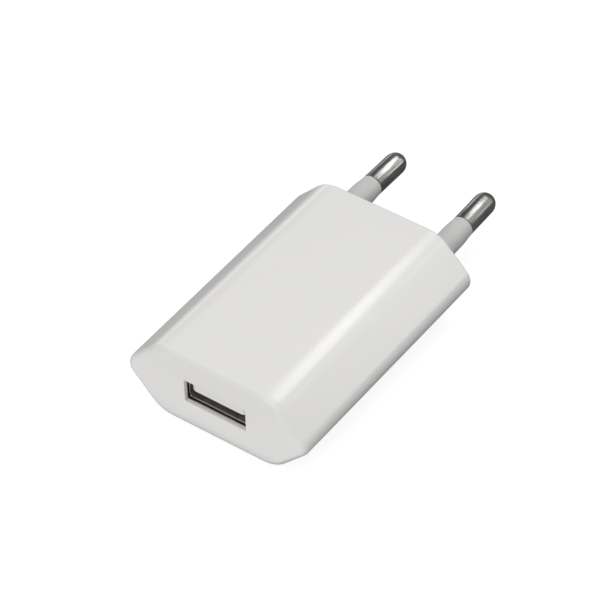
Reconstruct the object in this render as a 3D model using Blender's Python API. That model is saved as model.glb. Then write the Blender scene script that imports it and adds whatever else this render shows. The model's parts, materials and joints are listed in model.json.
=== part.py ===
"""Flat USB wall charger with two round mains pins.

Every size below is in millimetres and is turned into metres where the meshes are made.
X runs across the charger, Y from the USB end to the tips of the mains pins, Z up from the
large flat face that it lies on. The origin is at the middle of the underside of the whole.
Depth means the distance behind the front face, where the USB socket opens.
"""
import math

import bmesh
import bpy
from mathutils import Vector

MM = 0.001
GAP = 0.3                      # room kept between pieces that rest on each other

# Housing: a flat six-sided tube with one closed end
BODY_LENGTH = 47.4
BODY_HEIGHT = 15.2
FLAT_HALF_WIDTH = 11.5         # half of the large flat face, to the start of the slope
SLOPE = math.radians(46.5)     # slope of the four long side faces
EDGE_RADIUS = 5.5              # soft edge between the flat face and a slope
SIDE_RADIUS = 2.7              # edge where the two slopes of one side meet
FRONT_FILLET = 1.3
REAR_FILLET = 0.6
WALL = 1.6
MID = BODY_HEIGHT / 2

# Ledges inside the housing that carry the board, and lugs that hold it down
LEDGE_X = 11.6
LEDGE_DEPTH = 21.0
LEDGE_SIZE = (2.6, 36.0, 0.9)
LUG_X = 12.7
LUG_DEPTH = 17.4
LUG_SIZE = (2.8, 2.4, 1.0)

# Mains pins, as on a flat two-pin plug
PIN_RADIUS = 2.0
PIN_CORE_RADIUS = 1.4
PIN_LENGTH = 18.7              # from the pin plate's face to the tip
PIN_TIP_LENGTH = 2.2
PIN_HALF_SPACING = 9.42        # at the pin plate
PIN_TOE_IN = math.radians(1.05)
PIN_Z = MID + 0.25
SLEEVE_LENGTH = 10.0
SLEEVE_RADIUS = 2.18
SLEEVE_TAPER = 3.0
SLEEVE_BORE = PIN_CORE_RADIUS + GAP
PLATE_THICKNESS = 2.2
PLATE_DEPTH = BODY_LENGTH - PLATE_THICKNESS
SKIRT_LENGTH = 1.8
SKIRT_WALL = 1.0
PIN_HEAD_DEPTH = 43.2
PIN_HEAD_RADIUS = 2.4
PIN_HEAD_THICKNESS = 0.7
PIN_TIP_SWEEP = math.radians(84)
FLANGE_RADIUS = 3.2            # of the sleeve, inside the pin plate
FLANGE_THICKNESS = 0.6
SPRING_X = 9.55
SPRING_WIDTH = 1.8
SPRING_THICKNESS = 0.35

# USB socket
PORT_WIDTH = 12.1
PORT_HEIGHT = 4.7
PORT_Z = MID + 0.4
PORT_WALL = 0.8
SOCKET_Z = PORT_Z - 0.1
SOCKET_WIDTH = 12.5            # inside the metal shell
SOCKET_HEIGHT = 5.12
SHEET = 0.3
SOCKET_FRONT = 1.7             # set back, so that a gap shows behind the opening's edge
SOCKET_BACK = 15.0
LEAF_X = 3.2                   # middle of each pair of sprung leaves
LEAF_ROOT_DEPTH = 9.0
LEAF_WIDTH = 1.5
LEAF_THICKNESS = 0.22
WINDOW_SIZE = (2.2, 5.4, 1.2)
WINDOW_DEPTH = 5.7
LEG_X = SOCKET_WIDTH / 2 + SHEET / 2
LEG_DEPTH = 9.0
LEG_SIZE = (SHEET, 1.6, 3.6)
TONGUE_FRONT = 1.0
TONGUE_BACK = 10.4
TONGUE_HALF_WIDTH = 5.55
TONGUE_LOW = PORT_Z - 0.25
TONGUE_THICKNESS = 1.9
TONGUE_CORNER = 1.1
CONTACT_X = (-3.5, -1.0, 1.0, 3.5)
CONTACT_WIDTH = 0.9
CONTACT_THICKNESS = 0.2
CONTACT_ROOT_DEPTH = 10.1
CONTACT_Z = TONGUE_LOW + 0.25
CHANNEL_WIDTH = 1.5
CHANNEL_DEPTH = 0.9
TERMINAL_END = SOCKET_BACK + 0.6

# Circuit board
BOARD_TOP = 4.7
BOARD_THICKNESS = 1.0
BOARD_WIDTH = 24.0
BOARD_FRONT = 2.6
BOARD_BACK = 42.9
BOARD_UNDER = BOARD_TOP - BOARD_THICKNESS

# Transformer
CORE_DEPTH = 24.2              # depth of its middle
CORE_Z = 9.2
CORE_WIDTH = 13.0              # across the three legs, along Y
CORE_HALF_LENGTH = 6.4
CORE_HEIGHT = 3.4
CORE_BACK = 1.9
CORE_MID_LEG = 4.0
CORE_OUTER_LEG = 1.8
COIL_HALF_LENGTH = 3.6
BOBBIN_WALL = 0.4
FLANGE_HALF = (4.4, 4.1)
RAIL_X = 5.7
RAIL_SIZE = (3.9, 8.8, 1.5)

# Wires of the small parts
WIRE = 0.6
CAN_WIRE_X = 1.3
DISC_WIRE_Y = 1.6

# Roundness of the meshes
ROUND = 24
AXIAL_ROUND = 16
ARC_STEPS = 7

OVERALL_LENGTH = BODY_LENGTH + PIN_LENGTH


# Mesh tools -----------------------------------------------------------------------------

def clear_scene():
    for obj in list(bpy.data.objects):
        bpy.data.objects.remove(obj, do_unlink=True)


def make_material(name, colour, roughness, metallic=0.0):
    mat = bpy.data.materials.new(name)
    mat.use_nodes = True
    shader = mat.node_tree.nodes["Principled BSDF"]
    shader.inputs["Base Color"].default_value = (*colour, 1.0)
    shader.inputs["Roughness"].default_value = roughness
    shader.inputs["Metallic"].default_value = metallic
    return mat


def make_object(name, bm, mat, spot, turn_z=0.0):
    """Turn a bmesh in millimetres into an object at spot = (x, depth, z)."""
    bmesh.ops.recalc_face_normals(bm, faces=bm.faces)
    for vert in bm.verts:
        vert.co *= MM
    mesh = bpy.data.meshes.new(name)
    bm.to_mesh(mesh)
    bm.free()
    mesh.materials.append(mat)
    mesh.shade_smooth()
    mesh.set_sharp_from_angle(angle=math.radians(30))
    obj = bpy.data.objects.new(name, mesh)
    bpy.context.scene.collection.objects.link(obj)
    obj.parent = front_face
    obj.location = Vector(spot) * MM
    obj.rotation_euler = (0.0, 0.0, turn_z)
    return obj


def combine(target, tool, operation):
    """Join tool to target or cut it away, and keep the result as target's own mesh."""
    bpy.context.view_layer.update()
    modifier = target.modifiers.new(operation.lower(), "BOOLEAN")
    modifier.operation = operation
    modifier.solver = "EXACT"
    modifier.object = tool
    graph = bpy.context.evaluated_depsgraph_get()
    mesh = bpy.data.meshes.new_from_object(target.evaluated_get(graph))
    target.modifiers.clear()
    target.data = mesh
    bpy.data.objects.remove(tool, do_unlink=True)
    mesh.set_sharp_from_angle(angle=math.radians(30))


def rounded_outline(corners, radii, steps=ARC_STEPS):
    """Points of a convex outline whose corners are arcs. A radius of 0 leaves a sharp corner."""
    points = []
    count = len(corners)
    for i, corner in enumerate(corners):
        corner = Vector(corner)
        to_last = (Vector(corners[i - 1]) - corner).normalized()
        to_next = (Vector(corners[(i + 1) % count]) - corner).normalized()
        if radii[i] <= 0.0:
            points.append(corner)
            continue
        half = to_last.angle(to_next) / 2
        centre = corner + (to_last + to_next).normalized() * radii[i] / math.sin(half)
        start = corner + to_last * radii[i] / math.tan(half) - centre
        end = corner + to_next * radii[i] / math.tan(half) - centre
        sweep = start.angle(end)
        for k in range(steps + 1):
            t = k / steps
            arm = start * math.sin((1 - t) * sweep) + end * math.sin(t * sweep)
            points.append(centre + arm / math.sin(sweep))
    return points


def body_outline(inset):
    """The housing's cross-section in X and Z, moved in by inset on every side."""
    flat = FLAT_HALF_WIDTH - inset * math.tan(SLOPE / 2)
    side = FLAT_HALF_WIDTH + MID / math.tan(SLOPE) - inset / math.sin(SLOPE)
    high = MID - inset
    corners = [(flat, high), (side, 0), (flat, -high), (-flat, -high), (-side, 0), (-flat, high)]
    edge = max(EDGE_RADIUS - inset, 0.4)
    point = max(SIDE_RADIUS - inset, 0.4)
    return rounded_outline(corners, [edge, point, edge, edge, point, edge])


def ring_loop(bm, outline, depth):
    return [bm.verts.new((p[0], depth, p[1])) for p in outline]


def bridge(bm, ring_a, ring_b):
    count = len(ring_a)
    for i in range(count):
        j = (i + 1) % count
        bm.faces.new((ring_a[i], ring_a[j], ring_b[j], ring_b[i]))


def lofted(sections):
    """A solid through a list of (outline, depth) sections, closed at both ends."""
    bm = bmesh.new()
    rings = [ring_loop(bm, outline, depth) for outline, depth in sections]
    for ring_a, ring_b in zip(rings, rings[1:]):
        bridge(bm, ring_a, ring_b)
    bm.faces.new(rings[0])
    bm.faces.new(rings[-1])
    return bm


def turned(profile, steps=ROUND, closed=False):
    """A solid turned about Y from (radius, y) points. Closed joins the ends, as for a tube."""
    bm = bmesh.new()
    rings = []
    for radius, y in profile:
        ring = []
        for k in range(steps):
            angle = 2 * math.pi * k / steps
            ring.append(bm.verts.new((radius * math.cos(angle), y, radius * math.sin(angle))))
        rings.append(ring)
    for ring_a, ring_b in zip(rings, rings[1:]):
        bridge(bm, ring_a, ring_b)
    if closed:
        bridge(bm, rings[-1], rings[0])
    else:
        bm.faces.new(rings[0])
        bm.faces.new(rings[-1])
    return bm


def block(size, bevel=0.0, segments=1):
    """A box about its own middle, with its edges bevelled."""
    bm = bmesh.new()
    bmesh.ops.create_cube(bm, size=1.0)
    bmesh.ops.scale(bm, vec=size, verts=bm.verts)
    if bevel:
        bmesh.ops.bevel(bm, geom=bm.edges[:], offset=bevel, segments=segments,
                        affect="EDGES", profile=0.5)
    return bm


def tube(outer, inner, length, axis="X"):
    """A ring with rounded-rectangle walls: outer and inner are (half width, half height, radius)."""
    bm = bmesh.new()
    outlines = []
    for wide, high, radius in (outer, inner):
        corners = [(wide, high), (wide, -high), (-wide, -high), (-wide, high)]
        outlines.append(rounded_outline(corners, [radius] * 4, steps=3))
    rings = []
    for outline, end in ((outlines[0], -1), (outlines[0], 1), (outlines[1], 1), (outlines[1], -1)):
        ring = []
        for p in outline:
            along = end * length / 2
            ring.append(bm.verts.new((along, p[0], p[1]) if axis == "X" else (p[0], along, p[1])))
        rings.append(ring)
    for ring_a, ring_b in zip(rings, rings[1:] + rings[:1]):
        bridge(bm, ring_a, ring_b)
    return bm


def strip(path, width, thickness):
    """A bent flat strip: path is its centre line in (y, z), width runs along X."""
    points = [Vector(p) for p in path]
    left = []
    right = []
    for i, point in enumerate(points):
        before = points[max(i - 1, 0)]
        after = points[min(i + 1, len(points) - 1)]
        first = (point - before).normalized() if i else (after - point).normalized()
        last = (after - point).normalized() if i < len(points) - 1 else first
        mid = (first + last).normalized()
        reach = thickness / 2 / max(mid.dot(first), 0.5)
        side = Vector((-mid.y, mid.x)) * reach
        left.append(point + side)
        right.append(point - side)
    outline = left + right[::-1]
    bm = bmesh.new()
    near = [bm.verts.new((-width / 2, p.x, p.y)) for p in outline]
    far = [bm.verts.new((width / 2, p.x, p.y)) for p in outline]
    count = len(outline)
    for i in range(count):
        j = (i + 1) % count
        bm.faces.new((near[i], near[j], far[j], far[i]))
    for i in range(len(left) - 1):
        a, b = i, i + 1
        c, d = count - 2 - i, count - 1 - i
        bm.faces.new((near[a], near[b], near[c], near[d]))
        bm.faces.new((far[a], far[b], far[c], far[d]))
    return bm


def arc(centre, radius, start, end, steps):
    """Points (y, z) along an arc between two angles in degrees."""
    points = []
    for k in range(steps + 1):
        angle = math.radians(start + (end - start) * k / steps)
        points.append((centre[0] + radius * math.cos(angle), centre[1] + radius * math.sin(angle)))
    return points


# Housing and pin plate ------------------------------------------------------------------

def make_housing(mat):
    """The one-piece cup: outside with its fillets, then the rim, then the hollow."""
    sections = []
    for k in range(5):
        angle = math.pi / 2 * k / 4
        inset = FRONT_FILLET * (1 - math.sin(angle))
        sections.append((body_outline(inset), FRONT_FILLET * (1 - math.cos(angle))))
    for k in range(3):
        angle = math.pi / 2 * k / 2
        inset = REAR_FILLET * (1 - math.cos(angle))
        sections.append((body_outline(inset), BODY_LENGTH - REAR_FILLET * (1 - math.sin(angle))))
    sections.append((body_outline(WALL), BODY_LENGTH))
    sections.append((body_outline(WALL), WALL + 0.6))
    sections.append((body_outline(WALL + 0.6), WALL))
    housing = make_object("housing_shell", lofted(sections), mat, (0, 0, MID))

    pocket = block((SOCKET_WIDTH + 2 * SHEET + 2 * GAP, 2 * WALL,
                    SOCKET_HEIGHT + 2 * SHEET + 2 * GAP))
    pocket_mid = PORT_WALL + WALL
    combine(housing, make_object("pocket", pocket, mat, (0, pocket_mid, SOCKET_Z)), "DIFFERENCE")
    opening = block((PORT_WIDTH, 4 * PORT_WALL, PORT_HEIGHT))
    combine(housing, make_object("opening", opening, mat, (0, 0, PORT_Z)), "DIFFERENCE")

    for side in (-1, 1):
        spot = (side * LEDGE_X, LEDGE_DEPTH, BOARD_UNDER - GAP - LEDGE_SIZE[2] / 2)
        combine(housing, make_object("ledge", block(LEDGE_SIZE), mat, spot), "UNION")
        spot = (side * LUG_X, LUG_DEPTH, BOARD_TOP + GAP + LUG_SIZE[2] / 2)
        combine(housing, make_object("lug", block(LUG_SIZE), mat, spot), "UNION")
    return housing


def make_pin_plate(mat):
    """The end plate that carries the pins, with a skirt that fits inside the housing."""
    fit = WALL + GAP
    inner = fit + SKIRT_WALL
    skirt_end = PLATE_DEPTH - SKIRT_LENGTH
    sections = [
        (body_outline(fit + 0.3), BODY_LENGTH),
        (body_outline(fit), BODY_LENGTH - 0.3),
        (body_outline(fit), skirt_end),
        (body_outline(inner), skirt_end),
        (body_outline(inner), PLATE_DEPTH),
    ]
    plate = make_object("pin_plate", lofted(sections), mat, (0, 0, MID))
    for side in (-1, 1):
        bore = turned([(SLEEVE_RADIUS + GAP, -3.0), (SLEEVE_RADIUS + GAP, 3.0)])
        spot = (side * PIN_HALF_SPACING, BODY_LENGTH - PLATE_THICKNESS / 2, PIN_Z)
        combine(plate, make_object("bore", bore, mat, spot), "DIFFERENCE")
    return plate


def make_pin(side, label, metal, plastic):
    """One round pin and the sleeve that insulates its root. Both lean in slightly."""
    spot = (side * PIN_HALF_SPACING, BODY_LENGTH, PIN_Z)
    turn = side * PIN_TOE_IN
    head = PIN_HEAD_DEPTH - BODY_LENGTH
    shoulder = SLEEVE_LENGTH + GAP / 2
    profile = [
        (PIN_HEAD_RADIUS, head),
        (PIN_HEAD_RADIUS, head + PIN_HEAD_THICKNESS),
        (PIN_CORE_RADIUS, head + PIN_HEAD_THICKNESS),
        (PIN_CORE_RADIUS, shoulder),
        (PIN_RADIUS, shoulder),
    ]
    for k in range(6):
        angle = PIN_TIP_SWEEP * k / 5
        along = PIN_LENGTH - PIN_TIP_LENGTH * (1 - math.sin(angle) / math.sin(PIN_TIP_SWEEP))
        profile.append((PIN_RADIUS * math.cos(angle), along))
    make_object("mains_pin_" + label, turned(profile), metal, spot, turn)

    flange_back = PLATE_DEPTH - BODY_LENGTH - GAP
    end = SLEEVE_LENGTH - GAP / 2
    sleeve = [
        (SLEEVE_BORE, flange_back - FLANGE_THICKNESS),
        (FLANGE_RADIUS, flange_back - FLANGE_THICKNESS),
        (FLANGE_RADIUS, flange_back),
        (SLEEVE_RADIUS, flange_back),
        (SLEEVE_RADIUS, end - SLEEVE_TAPER),
        (PIN_RADIUS, end),
        (SLEEVE_BORE, end),
    ]
    make_object("pin_sleeve_" + label, turned(sleeve, closed=True), plastic, spot, turn)


def make_mains_spring(side, label, mat):
    """A bent strip soldered to the board, which presses on the inner end of a pin."""
    face = PIN_HEAD_DEPTH - GAP
    foot = BOARD_TOP + GAP + 0.2
    path = [(-3.2, foot), (-1.9, foot)]
    path += arc((-1.9, foot + 0.8), 0.8, -90, 0, 3)
    path += [(-1.1, PIN_Z - 1.2), (-0.2, PIN_Z), (-1.0, PIN_Z + 1.4)]
    bm = strip(path, SPRING_WIDTH, SPRING_THICKNESS)
    make_object("mains_spring_" + label, bm, mat, (side * SPRING_X, face, 0))


# USB socket -----------------------------------------------------------------------------

def make_usb_shell(mat):
    """The folded metal shell with four spring leaves and two solder legs."""
    half_wide = SOCKET_WIDTH / 2
    half_high = SOCKET_HEIGHT / 2
    length = SOCKET_BACK - SOCKET_FRONT
    middle = (SOCKET_FRONT + SOCKET_BACK) / 2
    bm = tube((half_wide + SHEET, half_high + SHEET, 0.6), (half_wide, half_high, 0.3), length, "Y")
    shell = make_object("usb_shell", bm, mat, (0, middle, SOCKET_Z))
    for face in (-1, 1):
        for side in (-1, 1):
            z = SOCKET_Z + face * (half_high + SHEET / 2)
            spot = (side * LEAF_X, WINDOW_DEPTH, z)
            window = make_object("window", block(WINDOW_SIZE), mat, spot)
            combine(shell, window, "DIFFERENCE")
            # The leaf starts in the sheet behind the window and dips into the socket
            path = [(0, 0), (-0.7, 0), (-4.3, -0.55 * face), (-5.1, -0.35 * face)]
            leaf = strip(path, LEAF_WIDTH, LEAF_THICKNESS)
            spot = (side * LEAF_X, LEAF_ROOT_DEPTH, z)
            combine(shell, make_object("leaf", leaf, mat, spot), "UNION")
    for side in (-1, 1):
        spot = (side * LEG_X, LEG_DEPTH, SOCKET_Z - half_high - 1.0)
        combine(shell, make_object("leg", block(LEG_SIZE), mat, spot), "UNION")
    return shell


def make_usb_insulator(mat):
    """The moulded block that closes the socket's back and carries the tongue."""
    half_wide = SOCKET_WIDTH / 2 - GAP
    depth = SOCKET_BACK - 0.2 - TONGUE_BACK
    middle = TONGUE_BACK + depth / 2
    bm = block((2 * half_wide, depth, SOCKET_HEIGHT - 2 * GAP))
    insulator = make_object("usb_insulator", bm, mat, (0, middle, SOCKET_Z))

    cut = TONGUE_CORNER
    wide = TONGUE_HALF_WIDTH
    outline = [(-wide + cut, TONGUE_FRONT), (wide - cut, TONGUE_FRONT), (wide, TONGUE_FRONT + cut),
               (wide, TONGUE_BACK + 1.0), (-wide, TONGUE_BACK + 1.0), (-wide, TONGUE_FRONT + cut)]
    tongue = bmesh.new()
    low = [tongue.verts.new((x, y, 0.0)) for x, y in outline]
    high = [tongue.verts.new((x, y, TONGUE_THICKNESS)) for x, y in outline]
    bridge(tongue, low, high)
    tongue.faces.new(low)
    tongue.faces.new(high)
    combine(insulator, make_object("tongue", tongue, mat, (0, 0, TONGUE_LOW)), "UNION")

    for x in CONTACT_X:
        length = SOCKET_BACK - TONGUE_FRONT
        channel = block((CHANNEL_WIDTH, length, 1.0))
        spot = (x, TONGUE_FRONT + 0.6 + length / 2, TONGUE_LOW + CHANNEL_DEPTH - 0.5)
        combine(insulator, make_object("channel", channel, mat, spot), "DIFFERENCE")
    return insulator


def make_usb_contacts(mat):
    """Four sprung contacts, each hinged at its root, and the fixed terminals behind them."""
    for number, x in enumerate(CONTACT_X, start=1):
        # The bow that meets the plug hangs below the tongue, 6.4 in front of the root
        spring = [(0, 0), (-1.4, 0), (-5.6, -0.5)]
        spring += arc((-6.4, 0.1), 0.65, -72, -108, 3)
        spring += [(-7.9, 0.0)]
        make_object("usb_contact_%d" % number, strip(spring, CONTACT_WIDTH, CONTACT_THICKNESS),
                    mat, (x, CONTACT_ROOT_DEPTH, CONTACT_Z))
        start = CONTACT_ROOT_DEPTH + GAP
        reach = TERMINAL_END - start
        tail = [(0, 0), (reach, 0)]
        tail += arc((reach, -0.5), 0.5, 90, 0, 3)[1:]
        tail += [(reach + 0.5, BOARD_TOP + GAP - CONTACT_Z)]
        make_object("usb_terminal_%d" % number, strip(tail, CONTACT_WIDTH, CONTACT_THICKNESS),
                    mat, (x, start, CONTACT_Z))


# Circuit board and what is on it --------------------------------------------------------

def make_board(mat):
    length = BOARD_BACK - BOARD_FRONT
    bm = block((BOARD_WIDTH, length, BOARD_THICKNESS))
    spot = (0, BOARD_FRONT + length / 2, BOARD_TOP - BOARD_THICKNESS / 2)
    board = make_object("circuit_board", bm, mat, spot)
    for side in (-1, 1):
        slot = block((SHEET + 2 * GAP, LEG_SIZE[1] + 2 * GAP, 4 * BOARD_THICKNESS))
        spot = (side * LEG_X, LEG_DEPTH, BOARD_TOP)
        combine(board, make_object("slot", slot, mat, spot), "DIFFERENCE")
    return board


def add_lead(target, mat, x, depth, z, reach, drop):
    """A bent wire that runs reach along Y from (x, depth, z), then drop down to the board."""
    sign = 1 if reach > 0 else -1
    path = [(-0.6 * sign, 0), (reach - 0.5 * sign, 0), (reach - 0.15 * sign, -0.15),
            (reach, -0.5), (reach, -drop)]
    combine(target, make_object("lead", strip(path, WIRE, WIRE), mat, (x, depth, z)), "UNION")


def make_can_capacitor(name, radius, length, x, front, z, mat):
    """An electrolytic can on its side, with a crimp near the wires at its rear."""
    crimp = length - 1.6
    profile = [(radius - 0.5, 0), (radius, 0.5), (radius, crimp - 0.5), (radius - 0.35, crimp - 0.15),
               (radius - 0.35, crimp + 0.15), (radius, crimp + 0.5), (radius, length - 0.5),
               (radius - 0.5, length)]
    capacitor = make_object(name, turned(profile), mat, (x, front, z))
    drop = z - BOARD_TOP - GAP
    for side in (-1, 1):
        add_lead(capacitor, mat, x + side * CAN_WIRE_X, front + length, z, 0.9, drop)


def make_axial(name, radius, length, x, front, mat):
    """A small part with one wire at each end, lying along Y just above the board."""
    z = BOARD_TOP + GAP + radius
    profile = [(radius * 0.7, 0), (radius, 0.5), (radius, length - 0.5), (radius * 0.7, length)]
    part = make_object(name, turned(profile, steps=AXIAL_ROUND), mat, (x, front, z))
    drop = z - BOARD_TOP - GAP
    add_lead(part, mat, x, front, z, -1.1, drop)
    add_lead(part, mat, x, front + length, z, 1.1, drop)


def make_core_half(side, label, mat):
    """One ferrite E: a back with a middle leg and two outer legs, pointing to the other half."""
    half = CORE_WIDTH / 2
    mid = CORE_MID_LEG / 2
    window = half - CORE_OUTER_LEG
    back = CORE_HALF_LENGTH
    root = back - CORE_BACK
    corners = [(back, -half), (back, half), (0, half), (0, window), (root, window), (root, mid),
               (0, mid), (0, -mid), (root, -mid), (root, -window), (0, -window), (0, -half)]
    bm = bmesh.new()
    low = [bm.verts.new((side * x, y, -CORE_HEIGHT / 2)) for x, y in corners]
    high = [bm.verts.new((side * x, y, CORE_HEIGHT / 2)) for x, y in corners]
    bridge(bm, low, high)
    bm.faces.new(low)
    bm.faces.new(high)
    make_object("transformer_core_" + label, bm, mat, (side * GAP / 2, CORE_DEPTH, CORE_Z))


def make_transformer(ferrite, bobbin_mat, copper, tape_mat):
    for side, label in ((-1, "left"), (1, "right")):
        make_core_half(side, label, ferrite)
    leg_y = CORE_MID_LEG / 2 + 0.25
    leg_z = CORE_HEIGHT / 2 + 0.25
    wall = BOBBIN_WALL
    # Bobbin: a square tube on the middle leg, two flanges, and a foot rail under each core back
    bm = tube((leg_y + wall, leg_z + wall, 0.3), (leg_y, leg_z, 0.1), 2 * COIL_HALF_LENGTH + 1.2)
    bobbin = make_object("transformer_bobbin", bm, bobbin_mat, (0, CORE_DEPTH, CORE_Z))
    for side in (-1, 1):
        x = side * (COIL_HALF_LENGTH + 0.35)
        flange = tube((*FLANGE_HALF, 0.5), (leg_y + 0.1, leg_z + 0.1, 0.1), 0.5)
        combine(bobbin, make_object("flange", flange, bobbin_mat, (x, CORE_DEPTH, CORE_Z)), "UNION")
        spot = (side * RAIL_X, CORE_DEPTH, BOARD_TOP + GAP + 0.85)
        combine(bobbin, make_object("rail", block(RAIL_SIZE), bobbin_mat, spot), "UNION")
    layers = (("primary_winding", 0.25, 0.5, copper), ("secondary_winding", 1.0, 0.4, copper),
              ("winding_tape", 1.6, 0.15, tape_mat))
    for name, start, thick, mat in layers:
        inner = (leg_y + wall + start, leg_z + wall + start, 0.3 + start * 0.5)
        outer = (inner[0] + thick, inner[1] + thick, inner[2] + thick)
        bm = tube(outer, inner, 2 * COIL_HALF_LENGTH - 0.4)
        make_object(name, bm, mat, (0, CORE_DEPTH, CORE_Z))


def make_chip(name, size, x, depth, mat):
    """A small outline package under the board, with a bevelled moulding."""
    z = BOARD_UNDER - GAP - size[2] / 2
    make_object(name, block(size, bevel=0.15), mat, (x, depth, z))


def make_disc_capacitor(name, x, depth, mat):
    """A disc on edge: its faces look along X."""
    radius = 2.8
    thick = 2.6
    profile = [(radius - 0.7, -thick / 2), (radius, -thick / 2 + 0.7), (radius, thick / 2 - 0.7),
               (radius - 0.7, thick / 2)]
    disc = make_object(name, turned(profile), mat, (x, depth, BOARD_TOP + 0.8 + radius), math.pi / 2)
    for side in (-1, 1):
        leg = block((WIRE, WIRE, 1.6))
        spot = (x, depth + side * DISC_WIRE_Y, BOARD_TOP + GAP + 0.8)
        combine(disc, make_object("leg", leg, mat, spot), "UNION")


# The whole charger ----------------------------------------------------------------------

clear_scene()
front_face = bpy.data.objects.new("front_face", None)
bpy.context.scene.collection.objects.link(front_face)
front_face.location = (0.0, -OVERALL_LENGTH / 2 * MM, 0.0)

white = make_material("white_gloss_plastic", (0.80, 0.795, 0.785), 0.22)
sleeve_grey = make_material("sleeve_plastic", (0.62, 0.62, 0.61), 0.45)
nickel = make_material("nickel_plate", (0.66, 0.64, 0.61), 0.2, 1.0)
tin = make_material("tinned_steel", (0.60, 0.60, 0.59), 0.32, 1.0)
gold = make_material("contact_plate", (0.83, 0.66, 0.33), 0.25, 1.0)
bronze = make_material("spring_bronze", (0.72, 0.50, 0.30), 0.35, 1.0)
tongue_white = make_material("socket_plastic", (0.78, 0.78, 0.77), 0.4)
board_tan = make_material("board_laminate", (0.47, 0.33, 0.16), 0.5)
ferrite = make_material("ferrite", (0.06, 0.06, 0.065), 0.6)
bobbin_black = make_material("bobbin_plastic", (0.03, 0.03, 0.03), 0.5)
copper = make_material("enamelled_copper", (0.55, 0.22, 0.08), 0.3, 1.0)
tape = make_material("polyester_tape", (0.85, 0.62, 0.05), 0.3)
can_sleeve = make_material("can_sleeve", (0.02, 0.025, 0.05), 0.35)
part_black = make_material("epoxy_black", (0.02, 0.02, 0.02), 0.45)
resistor_blue = make_material("resistor_coat", (0.10, 0.25, 0.40), 0.5)
choke_green = make_material("choke_coat", (0.10, 0.30, 0.14), 0.45)
disc_blue = make_material("disc_coat", (0.03, 0.16, 0.45), 0.4)
chip_ceramic = make_material("chip_ceramic", (0.45, 0.33, 0.22), 0.5)

make_housing(white)
make_pin_plate(white)
for pin_side, pin_label in ((-1, "left"), (1, "right")):
    make_pin(pin_side, pin_label, nickel, sleeve_grey)
    make_mains_spring(pin_side, pin_label, bronze)

make_usb_shell(tin)
make_usb_insulator(tongue_white)
make_usb_contacts(gold)

make_board(board_tan)
make_transformer(ferrite, bobbin_black, copper, tape)
for can_number, can_x in ((1, -4.25), (2, 4.25)):
    make_can_capacitor("input_capacitor_%d" % can_number, 4.0, 10.2, can_x, 31.4, 9.05, can_sleeve)
make_can_capacitor("output_capacitor", 3.15, 11.0, -10.6, 3.4, 8.3, can_sleeve)
make_axial("fusible_resistor", 1.5, 6.5, -11.2, 32.4, resistor_blue)
make_axial("filter_choke", 1.6, 6.5, 11.2, 32.4, choke_green)
make_axial("output_diode", 1.5, 6.5, 9.9, 5.0, part_black)
make_axial("clamp_diode", 1.3, 4.8, -10.3, 21.8, part_black)
make_disc_capacitor("safety_capacitor", 10.6, 24.2, disc_blue)
make_chip("bridge_rectifier", (4.8, 3.9, 1.4), -3.0, 36.5, part_black)
make_chip("controller_chip", (4.9, 3.9, 1.4), 4.2, 27.5, part_black)
make_chip("ceramic_capacitor", (3.2, 1.6, 1.0), -2.0, 17.5, chip_ceramic)
make_chip("load_resistor", (3.2, 1.6, 0.6), 3.0, 17.5, part_black)
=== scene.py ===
import json
import math

import bmesh
import bpy
from mathutils import Matrix, Vector


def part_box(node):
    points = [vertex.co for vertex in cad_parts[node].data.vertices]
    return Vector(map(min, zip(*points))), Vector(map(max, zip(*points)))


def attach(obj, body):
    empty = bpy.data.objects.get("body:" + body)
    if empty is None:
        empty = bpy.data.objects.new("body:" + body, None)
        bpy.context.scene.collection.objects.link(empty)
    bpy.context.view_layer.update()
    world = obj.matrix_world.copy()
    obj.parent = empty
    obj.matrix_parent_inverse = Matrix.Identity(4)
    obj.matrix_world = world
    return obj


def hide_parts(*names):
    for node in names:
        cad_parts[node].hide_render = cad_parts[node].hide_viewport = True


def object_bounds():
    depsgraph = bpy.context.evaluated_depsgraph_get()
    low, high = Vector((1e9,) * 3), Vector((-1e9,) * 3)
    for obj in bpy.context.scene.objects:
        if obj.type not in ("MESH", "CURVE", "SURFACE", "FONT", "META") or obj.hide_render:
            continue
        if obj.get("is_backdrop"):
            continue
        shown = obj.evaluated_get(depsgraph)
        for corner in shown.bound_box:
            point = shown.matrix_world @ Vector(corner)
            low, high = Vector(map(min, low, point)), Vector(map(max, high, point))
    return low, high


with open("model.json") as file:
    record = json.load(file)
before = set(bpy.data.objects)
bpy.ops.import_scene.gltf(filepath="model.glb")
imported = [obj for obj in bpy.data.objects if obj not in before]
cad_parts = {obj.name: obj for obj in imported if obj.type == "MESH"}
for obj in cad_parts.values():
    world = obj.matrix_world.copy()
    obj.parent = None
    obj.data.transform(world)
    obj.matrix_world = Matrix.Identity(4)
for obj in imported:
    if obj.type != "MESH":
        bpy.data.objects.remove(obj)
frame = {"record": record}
cad_low, cad_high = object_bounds()


# --- Housing shell -----------------------------------------------------------------------
# A one-piece cup in glossy, faintly warm white plastic, moulded on a core and open at the
# pin end. Soft edges run along it, and the USB opening is cut square in its closed end.

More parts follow.
